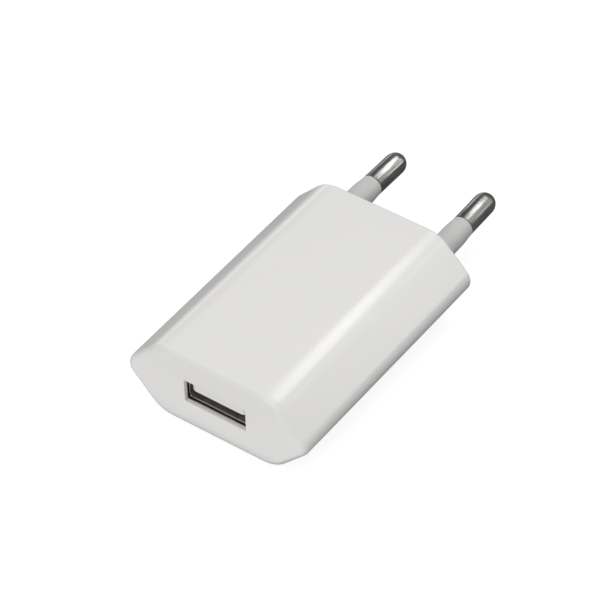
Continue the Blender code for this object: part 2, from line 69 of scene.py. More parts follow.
MM = 0.001
shell_low, shell_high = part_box("housing_shell")
FRONT_Y = shell_low.y                                # the face with the USB opening
FRONT = FRONT_Y / MM
LENGTH = (shell_high.y - shell_low.y) / MM
HEIGHT = (shell_high.z - shell_low.z) / MM
MID = HEIGHT / 2
FLAT_HALF_WIDTH = 11.5                               # large flat, to the start of a slope
SLOPE = math.radians(46.5)
EDGE_RADIUS = 5.5
SIDE_RADIUS = 2.7
FRONT_FILLET = 1.3
REAR_FILLET = 0.6
WALL = 1.6
PORT_WIDTH = 12.1
PORT_HEIGHT = 4.7
PORT_Z = MID + 0.4
PORT_WALL = 0.8
PORT_LIP = 0.14
PORT_CORNER = 0.22
SOCKET_CORNER = 0.3
SOCKET_Z = PORT_Z - 0.1
POCKET_HALF = (6.85, 3.16)                           # room for the socket behind the port
RIM_LIP = 0.12
CUP_CORNER = 0.6                                     # inside, where walls meet the front
OUTLINE_STEPS = 18                                   # points along each rounded edge
LEAST_RADIUS = 0.4
SHARP_ANGLE = math.radians(32.0)                     # a steeper fold is shaded as an edge
LEDGE = (10.3, 12.9, 3.0, 39.0)                      # under the board: X and depth, from and to
LUG = (11.3, 14.1, 16.2, 18.6)                       # over the board, likewise
BOARD_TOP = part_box("circuit_board")[1].z / MM
BOARD_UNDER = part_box("circuit_board")[0].z / MM
WIRE_END = BOARD_UNDER - 0.9                         # where wires are cut off under the board

body_of = {node: body for body, nodes in frame["record"]["behaviour"]["bodies"].items()
           for node in nodes}


def box_mm(name):
    """The low and high corner of a CAD node's box, in millimetres."""
    return [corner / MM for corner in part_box(name)]


def depths(name):
    """How far behind the front face a CAD node starts and ends."""
    return [corner.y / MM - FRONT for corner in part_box(name)]


def arc(centre, radius, start, end, steps):
    """Points along an arc, angles in degrees, both ends included."""
    points = []
    for k in range(steps + 1):
        angle = math.radians(start + (end - start) * k / steps)
        points.append((centre[0] + radius * math.cos(angle),
                       centre[1] + radius * math.sin(angle)))
    return points


def rounded(corners, radii, steps):
    """A convex outline with an arc at each corner."""
    points = []
    for i, corner in enumerate(corners):
        corner = Vector(corner)
        back = (Vector(corners[i - 1]) - corner).normalized()
        on = (Vector(corners[(i + 1) % len(corners)]) - corner).normalized()
        half = back.angle(on) / 2
        centre = corner + (back + on).normalized() * radii[i] / math.sin(half)
        start = corner + back * radii[i] / math.tan(half) - centre
        end = corner + on * radii[i] / math.tan(half) - centre
        sweep = start.angle(end)
        for k in range(steps + 1):
            t = k / steps
            arm = start * math.sin((1 - t) * sweep) + end * math.sin(t * sweep)
            points.append(tuple(centre + arm / math.sin(sweep)))
    return points


def body_outline(inset):
    """The housing's cross-section in X and Z about mid height, moved in by inset."""
    flat = FLAT_HALF_WIDTH - inset * math.tan(SLOPE / 2)
    side = FLAT_HALF_WIDTH + MID / math.tan(SLOPE) - inset / math.sin(SLOPE)
    high = MID - inset
    corners = [(flat, high), (side, 0), (flat, -high), (-flat, -high), (-side, 0), (-flat, high)]
    edge = max(EDGE_RADIUS - inset, LEAST_RADIUS)
    point = max(SIDE_RADIUS - inset, LEAST_RADIUS)
    return [(x, z + MID) for x, z in rounded(corners, [edge, point, edge] * 2, OUTLINE_STEPS)]


def box_outline(half_wide, half_high, z, radius, steps=6):
    corners = [(half_wide, half_high), (half_wide, -half_high),
               (-half_wide, -half_high), (-half_wide, half_high)]
    return [(x, h + z) for x, h in rounded(corners, [radius] * 4, steps)]


def ring(bm, outline, depth):
    """Vertices of an outline in X and Z at a depth behind the front face."""
    return [bm.verts.new((x, depth, z)) for x, z in outline]


def bridge(bm, ring_a, ring_b):
    for i in range(len(ring_a)):
        j = (i + 1) % len(ring_a)
        bm.faces.new((ring_a[i], ring_a[j], ring_b[j], ring_b[i]))


def bridge_all(bm, rings, closed=False):
    for ring_a, ring_b in zip(rings, rings[1:]):
        bridge(bm, ring_a, ring_b)
    if closed:
        bridge(bm, rings[-1], rings[0])


def solid(bm, rings):
    """A closed body from a row of sections, with a flat face at each end."""
    bridge_all(bm, rings)
    bm.faces.new(rings[0])
    bm.faces.new(rings[-1])


def fill(bm, *loops):
    """A flat face inside the first loop, with the other loops as holes in it."""
    edges = []
    for loop in loops:
        for i, vert in enumerate(loop):
            after = loop[(i + 1) % len(loop)]
            edges.append(bm.edges.get((vert, after)) or bm.edges.new((vert, after)))
    bmesh.ops.triangle_fill(bm, edges=edges, use_beauty=True)


def block(bm, low, high, bevel=0.1, segments=2):
    """A box between two corners, with rounded edges."""
    cube = bmesh.ops.create_cube(bm, size=1.0)["verts"]
    size = Vector(high) - Vector(low)
    bmesh.ops.scale(bm, vec=size, verts=cube)
    bmesh.ops.translate(bm, vec=(Vector(high) + Vector(low)) / 2, verts=cube)
    edges = {edge for vert in cube for edge in vert.link_edges}
    bmesh.ops.bevel(bm, geom=list(edges), offset=bevel, segments=segments, affect="EDGES",
                    profile=0.5)


def add_object(name, data):
    """A new object in the scene."""
    made = bpy.data.objects.new(name, data)
    bpy.context.scene.collection.objects.link(made)
    return made


def to_object(name, bm, material):
    """A mesh in millimetres (across, behind the front face, up) made an object in place."""
    bmesh.ops.recalc_face_normals(bm, faces=bm.faces)
    bmesh.ops.scale(bm, vec=(MM, MM, MM), verts=bm.verts)
    bmesh.ops.translate(bm, vec=(0, FRONT_Y, 0), verts=bm.verts)
    mesh = bpy.data.meshes.new(name)
    bm.to_mesh(mesh)
    bm.free()
    mesh.materials.append(material)
    mesh.shade_smooth()
    mesh.set_sharp_from_angle(angle=SHARP_ANGLE)
    return add_object(name, mesh)


def fit(piece, node):
    """The piece rides where a CAD node rides and stands for it; the node is hidden."""
    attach(piece, body_of[node])
    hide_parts(node)


def add_on(piece):
    """A piece that has no CAD node of its own rides on the charger."""
    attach(piece, "charger")


def settle(target):
    """Apply a piece's modifiers to its mesh."""
    bpy.context.view_layer.update()
    graph = bpy.context.evaluated_depsgraph_get()
    mesh = bpy.data.meshes.new_from_object(target.evaluated_get(graph))
    target.modifiers.clear()
    target.data = mesh


def combine(target, tool, operation):
    """Join one mesh object to another, or cut it away, and drop the tool."""
    cut = target.modifiers.new(operation.lower(), "BOOLEAN")
    cut.operation = operation
    cut.object = tool
    settle(target)
    bpy.data.objects.remove(tool)


def true_flats(target):
    """Shade the flat faces of a cut piece flat, right up to their rounded edges."""
    target.data.shade_smooth()
    target.data.set_sharp_from_angle(angle=SHARP_ANGLE)
    flats = target.modifiers.new("flats", "WEIGHTED_NORMAL")
    flats.keep_sharp = True
    settle(target)


def object_place(tree):
    """The place on a piece, in its own frame."""
    return tree.nodes.new("ShaderNodeTexCoord").outputs["Object"]


def new_group(name, inputs):
    """A shader group that puts out a colour, a roughness and a height.

    Inputs are (name, kind, value). Returns the group, its inputs, its outputs and the place
    on the piece.
    """
    group = bpy.data.node_groups.new(name, "ShaderNodeTree")
    for label, kind, value in inputs:
        socket = group.interface.new_socket(label, in_out="INPUT", socket_type="NodeSocket" + kind)
        socket.default_value = value
    for label, kind in (("Colour", "Color"), ("Roughness", "Float"), ("Height", "Float")):
        group.interface.new_socket(label, in_out="OUTPUT", socket_type="NodeSocket" + kind)
    return (group, group.nodes.new("NodeGroupInput").outputs,
            group.nodes.new("NodeGroupOutput").inputs, object_place(group))


def node(tree, kind, **settings):
    """Add a node. A setting named for an attribute sets it, any other sets that input."""
    made = tree.nodes.new(kind)
    for label, value in settings.items():
        if hasattr(made, label):
            setattr(made, label, value)
        else:
            made.inputs[label.replace("_", " ")].default_value = value
    return made


def texture(tree, kind, place, **settings):
    """A texture laid out by a socket that gives the place. Returns its single value."""
    made = node(tree, "ShaderNodeTex" + kind, **settings)
    tree.links.new(place, made.inputs["Vector"])
    return made.outputs["Distance" if kind == "Voronoi" else "Fac"]


def feed(tree, socket, value):
    """Give an input a number, or link a socket to it."""
    if isinstance(value, bpy.types.NodeSocket):
        tree.links.new(value, socket)
    else:
        socket.default_value = value


def calc(tree, operation, first, second=0.0, third=None):
    """A maths node whose inputs are numbers or sockets. Returns its output."""
    made = tree.nodes.new("ShaderNodeMath")
    made.operation = operation
    for i, value in enumerate((first, second, third)):
        if value is not None:
            feed(tree, made.inputs[i], value)
    return made.outputs[0]


def blend_colour(tree, factor, first, second):
    """Mix two colours, each a socket or four numbers, by a socket or a number."""
    made = tree.nodes.new("ShaderNodeMix")
    made.data_type = "RGBA"
    for i, value in ((0, factor), (6, first), (7, second)):
        feed(tree, made.inputs[i], value)
    return made.outputs[2]


def moulded_group():
    """Moulded plastic: faint flow mottling, orange peel, hairline scuffs and a few specks."""
    group, given, result, place = new_group(
        "moulded_surface",
        [("Colour", "Color", (0.8, 0.8, 0.8, 1)), ("Shade", "Color", (0.7, 0.7, 0.7, 1)),
         ("Roughness", "Float", 0.25), ("Roughness Spread", "Float", 0.05),
         ("Peel Size", "Float", 1400.0), ("Scuff Amount", "Float", 0.3),
         ("Speck Amount", "Float", 0.3)])

    def noise(scale, detail, position=place):
        made = node(group, "ShaderNodeTexNoise", Detail=detail, Roughness=0.55)
        group.links.new(position, made.inputs["Vector"])
        feed(group, made.inputs["Scale"], scale)
        return made.outputs["Fac"]

    cloud = noise(95.0, 3.0)
    peel = noise(given["Peel Size"], 2.0)
    # Scuffs: noise drawn out along the charger, of which only the crests are kept
    stretch = node(group, "ShaderNodeMapping", Rotation=(0.0, 0.0, 0.35), Scale=(1.0, 0.05, 1.0))
    group.links.new(place, stretch.inputs["Vector"])
    streak = noise(7500.0, 1.0, stretch.outputs[0])
    patch = noise(240.0, 1.0)
    scuff = calc(group, "MULTIPLY", calc(group, "GREATER_THAN", streak, 0.69),
                 calc(group, "SMOOTH_MIN", calc(group, "MULTIPLY", patch, 1.3), 1.0, 0.1))
    scuff = calc(group, "MULTIPLY", scuff, given["Scuff Amount"])
    speck = calc(group, "LESS_THAN", texture(group, "Voronoi", place, Scale=330.0), 0.045)
    speck = calc(group, "MULTIPLY", speck, given["Speck Amount"])

    tone = calc(group, "MULTIPLY", calc(group, "SUBTRACT", cloud, 0.3), 0.9)
    colour = blend_colour(group, tone, given["Colour"], given["Shade"])
    colour = blend_colour(group, speck, colour, (0.35, 0.33, 0.3, 1))
    group.links.new(colour, result["Colour"])
    wander = calc(group, "MULTIPLY", calc(group, "SUBTRACT", cloud, 0.5),
                  given["Roughness Spread"])
    rough = calc(group, "ADD", calc(group, "ADD", given["Roughness"], wander),
                 calc(group, "MULTIPLY", scuff, 0.15))
    group.links.new(rough, result["Roughness"])
    group.links.new(peel, result["Height"])
    return group


moulded_surface = moulded_group()


def start_material(name, **sockets):
    """A Principled material with its constant numbers on the shader's own sockets."""
    material = bpy.data.materials.new(name)
    material.use_nodes = True
    shader = material.node_tree.nodes["Principled BSDF"]
    for label, value in sockets.items():
        shader.inputs[label.replace("_", " ")].default_value = value
    return material, material.node_tree, shader


def bump(tree, shader, height, depth):
    """A bump whose full height is depth in millimetres."""
    relief = node(tree, "ShaderNodeBump", Distance=depth * MM)
    tree.links.new(height, relief.inputs["Height"])
    tree.links.new(relief.outputs[0], shader.inputs["Normal"])


def finish(name, group, depth, values, **sockets):
    """A material whose colour, roughness and relief come from a shared surface group."""
    material, tree, shader = start_material(name, **sockets)
    skin = tree.nodes.new("ShaderNodeGroup")
    skin.node_tree = group
    for label, value in values.items():
        skin.inputs[label].default_value = value
    tree.links.new(skin.outputs["Colour"], shader.inputs["Base Color"])
    tree.links.new(skin.outputs["Roughness"], shader.inputs["Roughness"])
    bump(tree, shader, skin.outputs["Height"], depth)
    return material


def plastic(name, colour, shade, roughness, spread=0.05, peel_size=1400.0, peel_depth=0.002,
            scuffs=0.3, specks=0.2, **sockets):
    """A material for moulded plastic, made from the shared moulded surface."""
    return finish(name, moulded_surface, peel_depth, {
        "Colour": (*colour, 1), "Shade": (*shade, 1), "Roughness": roughness,
        "Roughness Spread": spread, "Peel Size": peel_size, "Scuff Amount": scuffs,
        "Speck Amount": specks}, **sockets)


white_gloss = plastic("white_gloss_plastic", (0.815, 0.808, 0.797), (0.80, 0.79, 0.775), 0.235,
                      spread=0.04, scuffs=0.15, IOR=1.5, Subsurface_Weight=0.12,
                      Subsurface_Radius=(1.0, 0.9, 0.8), Subsurface_Scale=0.0012)


def housing_mesh():
    bm = bmesh.new()
    rings = []
    for x, y in arc((FRONT_FILLET, FRONT_FILLET), FRONT_FILLET, 270, 180, 10):
        rings.append(ring(bm, body_outline(x), y))
    for x, y in arc((REAR_FILLET, LENGTH - REAR_FILLET), REAR_FILLET, 180, 90, 6):
        rings.append(ring(bm, body_outline(x), y))
    # Over the rim and down the inside of the cup
    for x, y in arc((WALL - RIM_LIP, LENGTH - RIM_LIP), RIM_LIP, 90, 0, 3):
        rings.append(ring(bm, body_outline(x), y))
    for x, y in arc((WALL + CUP_CORNER, WALL + CUP_CORNER), CUP_CORNER, 180, 270, 4):
        rings.append(ring(bm, body_outline(x), y))
    bridge_all(bm, rings)

    hole = []
    half = (PORT_WIDTH / 2, PORT_HEIGHT / 2)
    for out, y in arc((PORT_LIP, PORT_LIP), PORT_LIP, 270, 180, 4):
        outline = box_outline(half[0] + out, half[1] + out, PORT_Z, PORT_CORNER + out)
        hole.append(ring(bm, outline, y))
    hole.append(ring(bm, box_outline(*half, PORT_Z, PORT_CORNER), PORT_WALL))
    hole.append(ring(bm, box_outline(*POCKET_HALF, SOCKET_Z, SOCKET_CORNER), PORT_WALL))
    hole.append(ring(bm, box_outline(*POCKET_HALF, SOCKET_Z, SOCKET_CORNER), WALL))
    bridge_all(bm, hole)
    fill(bm, rings[0], hole[0])
    fill(bm, rings[-1], hole[-1])
    return bm


housing = to_object("housing_shell_moulding", housing_mesh(), white_gloss)
ribs = bmesh.new()
for side in (-1, 1):
    for (inner, outer, front, rear), low, high in (
            (LEDGE, BOARD_UNDER - 1.2, BOARD_UNDER - 0.3),
            (LUG, BOARD_TOP + 0.3, BOARD_TOP + 1.3)):
        left, right = sorted((side * inner, side * outer))
        block(ribs, (left, front, low), (right, rear, high))
combine(housing, to_object("ribs", ribs, white_gloss), "UNION")
fit(housing, "housing_shell")


# --- Pin plate ---------------------------------------------------------------------------
# The end plate that carries the pins, moulded in the same white plastic. Its skirt is glued
# inside the housing's rim, which leaves a fine parting line round it.

PARTING = 0.09
PLATE_THICKNESS = 2.2
PLATE_SUNK = 0.05                                    # how far it lies inside the rim
SKIRT_LENGTH = 1.8
SKIRT_WALL = 1.0
PIN_HALF_SPACING = 9.42
PIN_Z = MID + 0.25
SLEEVE_RADIUS = 2.18


def circle(x, z, radius, steps=64):
    turn = [2 * math.pi * k / steps for k in range(steps)]
    return [(x + radius * math.cos(a), z + radius * math.sin(a)) for a in turn]


def pin_plate_mesh():
    bm = bmesh.new()
    edge = 0.15
    fit_inset = WALL + PARTING
    inner = fit_inset + SKIRT_WALL
    back = LENGTH - PLATE_THICKNESS
    rings = []
    for x, y in arc((fit_inset + edge, LENGTH - PLATE_SUNK - edge), edge, 90, 180, 3):
        rings.append(ring(bm, body_outline(x), y))
    rings.append(ring(bm, body_outline(fit_inset), back - SKIRT_LENGTH + 0.2))
    rings.append(ring(bm, body_outline(fit_inset + 0.2), back - SKIRT_LENGTH))
    rings.append(ring(bm, body_outline(inner), back - SKIRT_LENGTH))
    rings.append(ring(bm, body_outline(inner), back))
    bridge_all(bm, rings)
    faces = ([rings[0]], [rings[-1]])
    for side in (-1, 1):
        # Each bore has a shallow sunk ring round the sleeve on the outside
        x = side * PIN_HALF_SPACING
        bore = [ring(bm, circle(x, PIN_Z, SLEEVE_RADIUS + out), y) for out, y in (
            (0.95, LENGTH - PLATE_SUNK), (0.85, LENGTH - 0.3), (0.16, LENGTH - 0.3),
            (0.06, LENGTH - 0.4), (0.06, back))]
        bridge_all(bm, bore)
        faces[0].append(bore[0])
        faces[1].append(bore[-1])
    for loops in faces:
        fill(bm, *loops)
    return bm


fit(to_object("pin_plate_moulding", pin_plate_mesh(), white_gloss), "pin_plate")


# --- Pin sleeves and mains pins ----------------------------------------------------------
# Each pin is turned in brass and nickel plated, thinner under its sleeve, with a domed tip.
# The grey-white sleeve is moulded over its root. Both lean in a little towards the middle.

PIN_RADIUS = 2.0
PIN_CORE_RADIUS = 1.4
PIN_LENGTH = cad_high.y / MM - FRONT - LENGTH
PIN_TIP_LENGTH = 2.2
PIN_TOE_IN = math.radians(1.05)
PIN_HEAD_DEPTH = 43.2
PIN_HEAD_RADIUS = 2.4
SLEEVE_LENGTH = 10.0
SLEEVE_TAPER = 3.0


def turned(bm, profile, steps=72, closed=False):
    """A shape turned about Y from (radius, depth) points. A radius of 0 is a pole."""
    rings = []
    for radius, y in profile:
        if radius < 1e-6:
            rings.append([bm.verts.new((0, y, 0))])
        else:
            rings.append(ring(bm, circle(0, 0, radius, steps), y))
    pairs = list(zip(rings, rings[1:]))
    if closed:
        pairs.append((rings[-1], rings[0]))
    for ring_a, ring_b in pairs:
        if len(ring_a) == 1 or len(ring_b) == 1:
            pole, rim = sorted((ring_a, ring_b), key=len)
            for i in range(len(rim)):
                bm.faces.new((pole[0], rim[i], rim[(i + 1) % len(rim)]))
        else:
            bridge(bm, ring_a, ring_b)


def place(bm, x, depth, z, turn_z=0.0):
    bmesh.ops.transform(bm, verts=bm.verts,
                        matrix=Matrix.Translation((x, depth, z)) @ Matrix.Rotation(turn_z, 4, "Z"))
    return bm


def pin_mesh(side):
    head = PIN_HEAD_DEPTH - LENGTH
    shoulder = SLEEVE_LENGTH + 0.06
    profile = [(0, head)]
    profile += arc((PIN_HEAD_RADIUS - 0.15, head + 0.15), 0.15, 270, 360, 3)
    profile += arc((PIN_HEAD_RADIUS - 0.15, head + 0.55), 0.15, 0, 90, 3)
    profile += [(PIN_CORE_RADIUS, head + 0.7), (PIN_CORE_RADIUS, shoulder)]
    profile += arc((PIN_RADIUS - 0.1, shoulder + 0.1), 0.1, 270, 360, 4)
    # The dome is a little longer than half a ball
    dome = PIN_LENGTH - PIN_TIP_LENGTH
    for k in range(17):
        angle = math.pi / 2 * k / 16
        profile.append((PIN_RADIUS * math.cos(angle), dome + PIN_TIP_LENGTH * math.sin(angle)))
    profile[-1] = (0, PIN_LENGTH)
    bm = bmesh.new()
    turned(bm, profile)
    return place(bm, side * PIN_HALF_SPACING, LENGTH, PIN_Z, side * PIN_TOE_IN)


def sleeve_mesh(side):
    bore = PIN_CORE_RADIUS + 0.05
    back = -PLATE_THICKNESS - 0.08
    end = SLEEVE_LENGTH
    profile = [(bore, back - 0.6), (3.1, back - 0.6), (3.2, back - 0.5), (3.2, back),
               (SLEEVE_RADIUS, back), (SLEEVE_RADIUS, end - SLEEVE_TAPER - 0.3)]
    for k in range(1, 7):
        t = k / 6
        swell = (SLEEVE_RADIUS - PIN_RADIUS) * (1 - t * t * (3 - 2 * t))
        profile.append((PIN_RADIUS + swell, end - SLEEVE_TAPER * (1 - t)))
    profile[-1] = (PIN_RADIUS, end - 0.1)
    profile += [(PIN_RADIUS - 0.1, end), (bore, end)]
    bm = bmesh.new()
    turned(bm, profile, closed=True)
    return place(bm, side * PIN_HALF_SPACING, LENGTH, PIN_Z, side * PIN_TOE_IN)


def drawn_metal_group():
    """Plated or rolled metal: fine marks along one direction, soft tarnish and small dents."""
    group, given, result, place_socket = new_group(
        "drawn_metal",
        [("Colour", "Color", (0.7, 0.7, 0.7, 1)), ("Tarnish", "Color", (0.5, 0.45, 0.4, 1)),
         ("Roughness", "Float", 0.2), ("Roughness Spread", "Float", 0.1),
         ("Mark Size", "Vector", (300.0, 6000.0, 300.0)), ("Tarnish Amount", "Float", 0.3)])
    scaled = node(group, "ShaderNodeVectorMath", operation="MULTIPLY")
    group.links.new(place_socket, scaled.inputs[0])
    group.links.new(given["Mark Size"], scaled.inputs[1])
    marks = texture(group, "Noise", scaled.outputs[0], Scale=1.0, Detail=3.0)
    cloud = texture(group, "Noise", place_socket, Scale=210.0, Detail=4.0)
    dull = calc(group, "MULTIPLY", calc(group, "SUBTRACT", cloud, 0.42), 4.0)
    dull = calc(group, "MINIMUM", calc(group, "MAXIMUM", dull, 0.0), 1.0)
    lines = calc(group, "MULTIPLY_ADD", marks, 5.0, -2.1)
    lines = calc(group, "MINIMUM", calc(group, "MAXIMUM", lines, 0.0), 1.0)
    dull = calc(group, "MULTIPLY", calc(group, "MAXIMUM", dull, lines), given["Tarnish Amount"])
    group.links.new(blend_colour(group, dull, given["Colour"], given["Tarnish"]), result["Colour"])
    wander = calc(group, "MULTIPLY", calc(group, "SUBTRACT", marks, 0.5),
                  given["Roughness Spread"])
    rough = calc(group, "ADD", calc(group, "ADD", given["Roughness"], wander),
                 calc(group, "MULTIPLY", dull, 0.12))
    group.links.new(rough, result["Roughness"])
    group.links.new(marks, result["Height"])
    return group


drawn_metal = drawn_metal_group()


def metal(name, colour, tarnish, roughness, marks, amount=0.3, depth=0.001, **sockets):
    """A metal material. marks gives the fineness of its marks along X, Y and Z, per metre."""
    return finish(name, drawn_metal, depth, {
        "Colour": (*colour, 1), "Tarnish": (*tarnish, 1), "Roughness": roughness,
        "Roughness Spread": 0.08, "Mark Size": marks, "Tarnish Amount": amount},
        Metallic=1.0, **sockets)


nickel = metal("nickel_plate", (0.36, 0.355, 0.345), (0.10, 0.098, 0.095), 0.235,
               (2600.0, 110.0, 2600.0), amount=0.7, depth=0.0015)
sleeve_grey = plastic("sleeve_plastic", (0.60, 0.60, 0.59), (0.52, 0.52, 0.51), 0.48,
                      peel_size=2600.0, peel_depth=0.006, scuffs=0.6, specks=0.5)

for side, label in ((-1, "left"), (1, "right")):
    pin = to_object("mains_pin_%s_turned" % label, pin_mesh(side), nickel)
    fit(pin, "mains_pin_" + label)
    sleeve = to_object("pin_sleeve_%s_moulding" % label, sleeve_mesh(side), sleeve_grey)
    fit(sleeve, "pin_sleeve_" + label)


# --- USB shell ---------------------------------------------------------------------------
# Folded from tin-plated sheet: a flat tube whose front edge is rolled soft, with a butt seam
# along its underside, four sprung leaves that grip a plug, and two legs through the board.

SOCKET_HALF = (6.25, 2.56)
SHEET = 0.3
SOCKET_FRONT, SOCKET_BACK = depths("usb_shell")
LEAF_X = 3.2
WINDOW = (1.1, 3.0, 8.4)                             # round a leaf: half width, front, rear
LEGS = (8.2, 9.8)                                    # through the board: front, rear


def strip(bm, path, width, thickness, x=0.0, depth=0.0, z=0.0):
    """A bent flat strip. path is its centre line in depth and height, width runs along X."""
    points = [Vector(p) for p in path]
    left, right = [], []
    for i, point in enumerate(points):
        before = (point - points[i - 1]).normalized() if i else None
        after = (points[i + 1] - point).normalized() if i < len(points) - 1 else None
        along = ((before or after) + (after or before)).normalized()
        reach = thickness / 2 / max(along.dot(after or before), 0.5)
        aside = Vector((-along.y, along.x)) * reach
        left.append(point + aside)
        right.append(point - aside)
    rows = []
    corner = min(thickness * 0.3, 0.08)
    # Each cross-section has eight points, so that the long edges are softened
    for a, b in zip(left, right):
        soft = (a - b).normalized() * corner
        half = width / 2
        section = [(-half + corner, a), (half - corner, a), (half, a - soft), (half, b + soft),
                   (half - corner, b), (-half + corner, b), (-half, b + soft), (-half, a - soft)]
        rows.append([bm.verts.new((across + x, p.x + depth, p.y + z)) for across, p in section])
    solid(bm, rows)


def usb_shell_object(material):
    half_x, half_z = SOCKET_HALF
    bm = bmesh.new()
    rings = []
    roll = SHEET / 2
    rim = arc((roll, SOCKET_FRONT + roll), roll, 360, 180, 6)
    for out, y in rim + [(0.0, SOCKET_BACK), (SHEET, SOCKET_BACK)]:
        outline = box_outline(half_x + out, half_z + out, SOCKET_Z, SOCKET_CORNER + out)
        rings.append(ring(bm, outline, y))
    bridge_all(bm, rings, closed=True)
    shell = to_object("usb_shell_folded", bm, material)
    cuts = bmesh.new()
    leaves = bmesh.new()
    for face in (-1, 1):
        z = SOCKET_Z + face * (half_z + SHEET / 2)
        for side in (-1, 1):
            x = side * LEAF_X
            half, front, rear = WINDOW
            block(cuts, (x - half, front, z - 0.6), (x + half, rear, z + 0.6), 0.15)
            path = [(8.9, 0), (8.2, 0), (7.2, -0.03 * face), (5.6, -0.28 * face)]
            path += [(4.75, -0.46 * face), (4.3, -0.53 * face), (3.95, -0.46 * face),
                     (3.5, -0.22 * face)]
            strip(leaves, path, 1.5, 0.24, x, 0.0, z)
    # The seam where the sheet's two edges meet
    block(cuts, (-0.04, 8.0, SOCKET_Z - half_z - 0.5),
          (0.04, SOCKET_BACK + 1, SOCKET_Z - half_z + 0.1), 0.0)
    combine(shell, to_object("cuts", cuts, material), "DIFFERENCE")
    for side in (-1, 1):
        x = side * (half_x + SHEET / 2)
        block(leaves, (x - SHEET / 2, LEGS[0], BOARD_UNDER - 0.7),
              (x + SHEET / 2, LEGS[1], SOCKET_Z - half_z + 0.9), 0.08)
    # The back flap is folded down behind the insulator
    block(leaves, (-half_x + 0.4, SOCKET_BACK - SHEET, SOCKET_Z - 0.4),
          (half_x - 0.4, SOCKET_BACK, SOCKET_Z + half_z + 0.1), 0.06)
    combine(shell, to_object("leaves", leaves, material), "UNION")
    true_flats(shell)
    return shell


tinned_steel = metal("tinned_steel", (0.66, 0.66, 0.65), (0.5, 0.5, 0.49), 0.30,
                     (2400.0, 160.0, 2400.0), depth=0.002, amount=0.4)
fit(usb_shell_object(tinned_steel), "usb_shell")


# --- USB insulator -----------------------------------------------------------------------
# White moulded block that closes the back of the socket. Its tongue reaches to the front in
# the upper half of the opening, with four channels under it for the contacts.

TONGUE_FRONT = depths("usb_insulator")[0]
TONGUE_BACK = 10.4
TONGUE_LOW = PORT_Z - 0.25
TONGUE_THICKNESS = 1.9
TONGUE_HALF_WIDTH = 5.55
TONGUE_CORNER = 1.1
CONTACT_X = (-3.5, -1.0, 1.0, 3.5)
CHANNEL_WIDTH = 1.5
CHANNEL_DEPTH = 0.9


def usb_insulator_object(material):
    bm = bmesh.new()
    block(bm, (-SOCKET_HALF[0] + 0.08, TONGUE_BACK, SOCKET_Z - SOCKET_HALF[1] + 0.08),
          (SOCKET_HALF[0] - 0.08, SOCKET_BACK - SHEET - 0.05,
           SOCKET_Z + SOCKET_HALF[1] - 0.08), 0.15)
    insulator = to_object("usb_insulator_moulding", bm, material)
    wide, cut, front = TONGUE_HALF_WIDTH, TONGUE_CORNER, TONGUE_FRONT
    corners = [(-wide, TONGUE_BACK + 1), (-wide, front), (wide, front), (wide, TONGUE_BACK + 1)]
    soft = 0.16
    bm = bmesh.new()
    rings = []
    for inset, z in arc((soft, soft), soft, 270, 180, 3) + arc(
            (soft, TONGUE_THICKNESS - soft), soft, 180, 90, 3):
        shrunk = [(x - math.copysign(inset, x), y + (inset if y == front else 0))
                  for x, y in corners]
        outline = rounded(shrunk, [0.2, cut - inset * 0.5, cut - inset * 0.5, 0.2], 6)
        rings.append([bm.verts.new((x, y, z + TONGUE_LOW)) for x, y in outline])
    solid(bm, rings)
    combine(insulator, to_object("tongue", bm, material), "UNION")
    bm = bmesh.new()
    for x in CONTACT_X:
        block(bm, (x - CHANNEL_WIDTH / 2, front + 0.6, TONGUE_LOW - 0.3),
              (x + CHANNEL_WIDTH / 2, SOCKET_BACK + 1, TONGUE_LOW + CHANNEL_DEPTH), 0.06)
    combine(insulator, to_object("channels", bm, material), "DIFFERENCE")
    return insulator


socket_white = plastic("socket_plastic", (0.80, 0.795, 0.785), (0.76, 0.75, 0.735), 0.38,
                       peel_size=2200.0, peel_depth=0.003, scuffs=0.5)
fit(usb_insulator_object(socket_white), "usb_insulator")


# --- USB contacts and their terminals ----------------------------------------------------
# Four strips stamped in a copper alloy and plated with gold. The sprung front of each one
# lifts when a plug goes in; its fixed rear runs through the insulator down to the board.

CONTACT_WIDTH = 0.9
CONTACT_THICKNESS = 0.2
CONTACT_Z = TONGUE_LOW + 0.25
CONTACT_ROOT = depths("usb_contact_1")[1]
TERMINAL_START = depths("usb_terminal_1")[0]

gold = metal("contact_plate", (0.86, 0.68, 0.36), (0.72, 0.50, 0.22), 0.22,
             (300.0, 3800.0, 300.0), depth=0.0008, amount=0.25)

for number, x in enumerate(CONTACT_X, start=1):
    bm = bmesh.new()
    path = [(0, 0), (-0.7, 0), (-1.3, -0.01), (-1.7, -0.05), (-3.6, -0.27), (-5.4, -0.475)]
    path += arc((-6.4, 0.1), 0.65, -68, -112, 8)
    path += [(-7.2, -0.33), (-7.9, 0.0)]
    strip(bm, path, CONTACT_WIDTH, CONTACT_THICKNESS, x, CONTACT_ROOT, CONTACT_Z)
    fit(to_object("usb_contact_%d_spring" % number, bm, gold), "usb_contact_%d" % number)

    bm = bmesh.new()
    reach = SOCKET_BACK + 0.6 - TERMINAL_START
    path = [(0, 0), (reach, 0)] + arc((reach, -0.5), 0.5, 90, 0, 6)[1:]
    path += [(reach + 0.5, BOARD_UNDER - 0.8 - CONTACT_Z)]
    strip(bm, path, CONTACT_WIDTH * 0.8, CONTACT_THICKNESS, x, TERMINAL_START, CONTACT_Z)
    fit(to_object("usb_terminal_%d_tail" % number, bm, gold), "usb_terminal_%d" % number)


# --- Mains springs -----------------------------------------------------------------------
# Bent strips of spring bronze, soldered to the board, whose bowed tips press on the inner
# ends of the pins when the pin plate is pushed home.

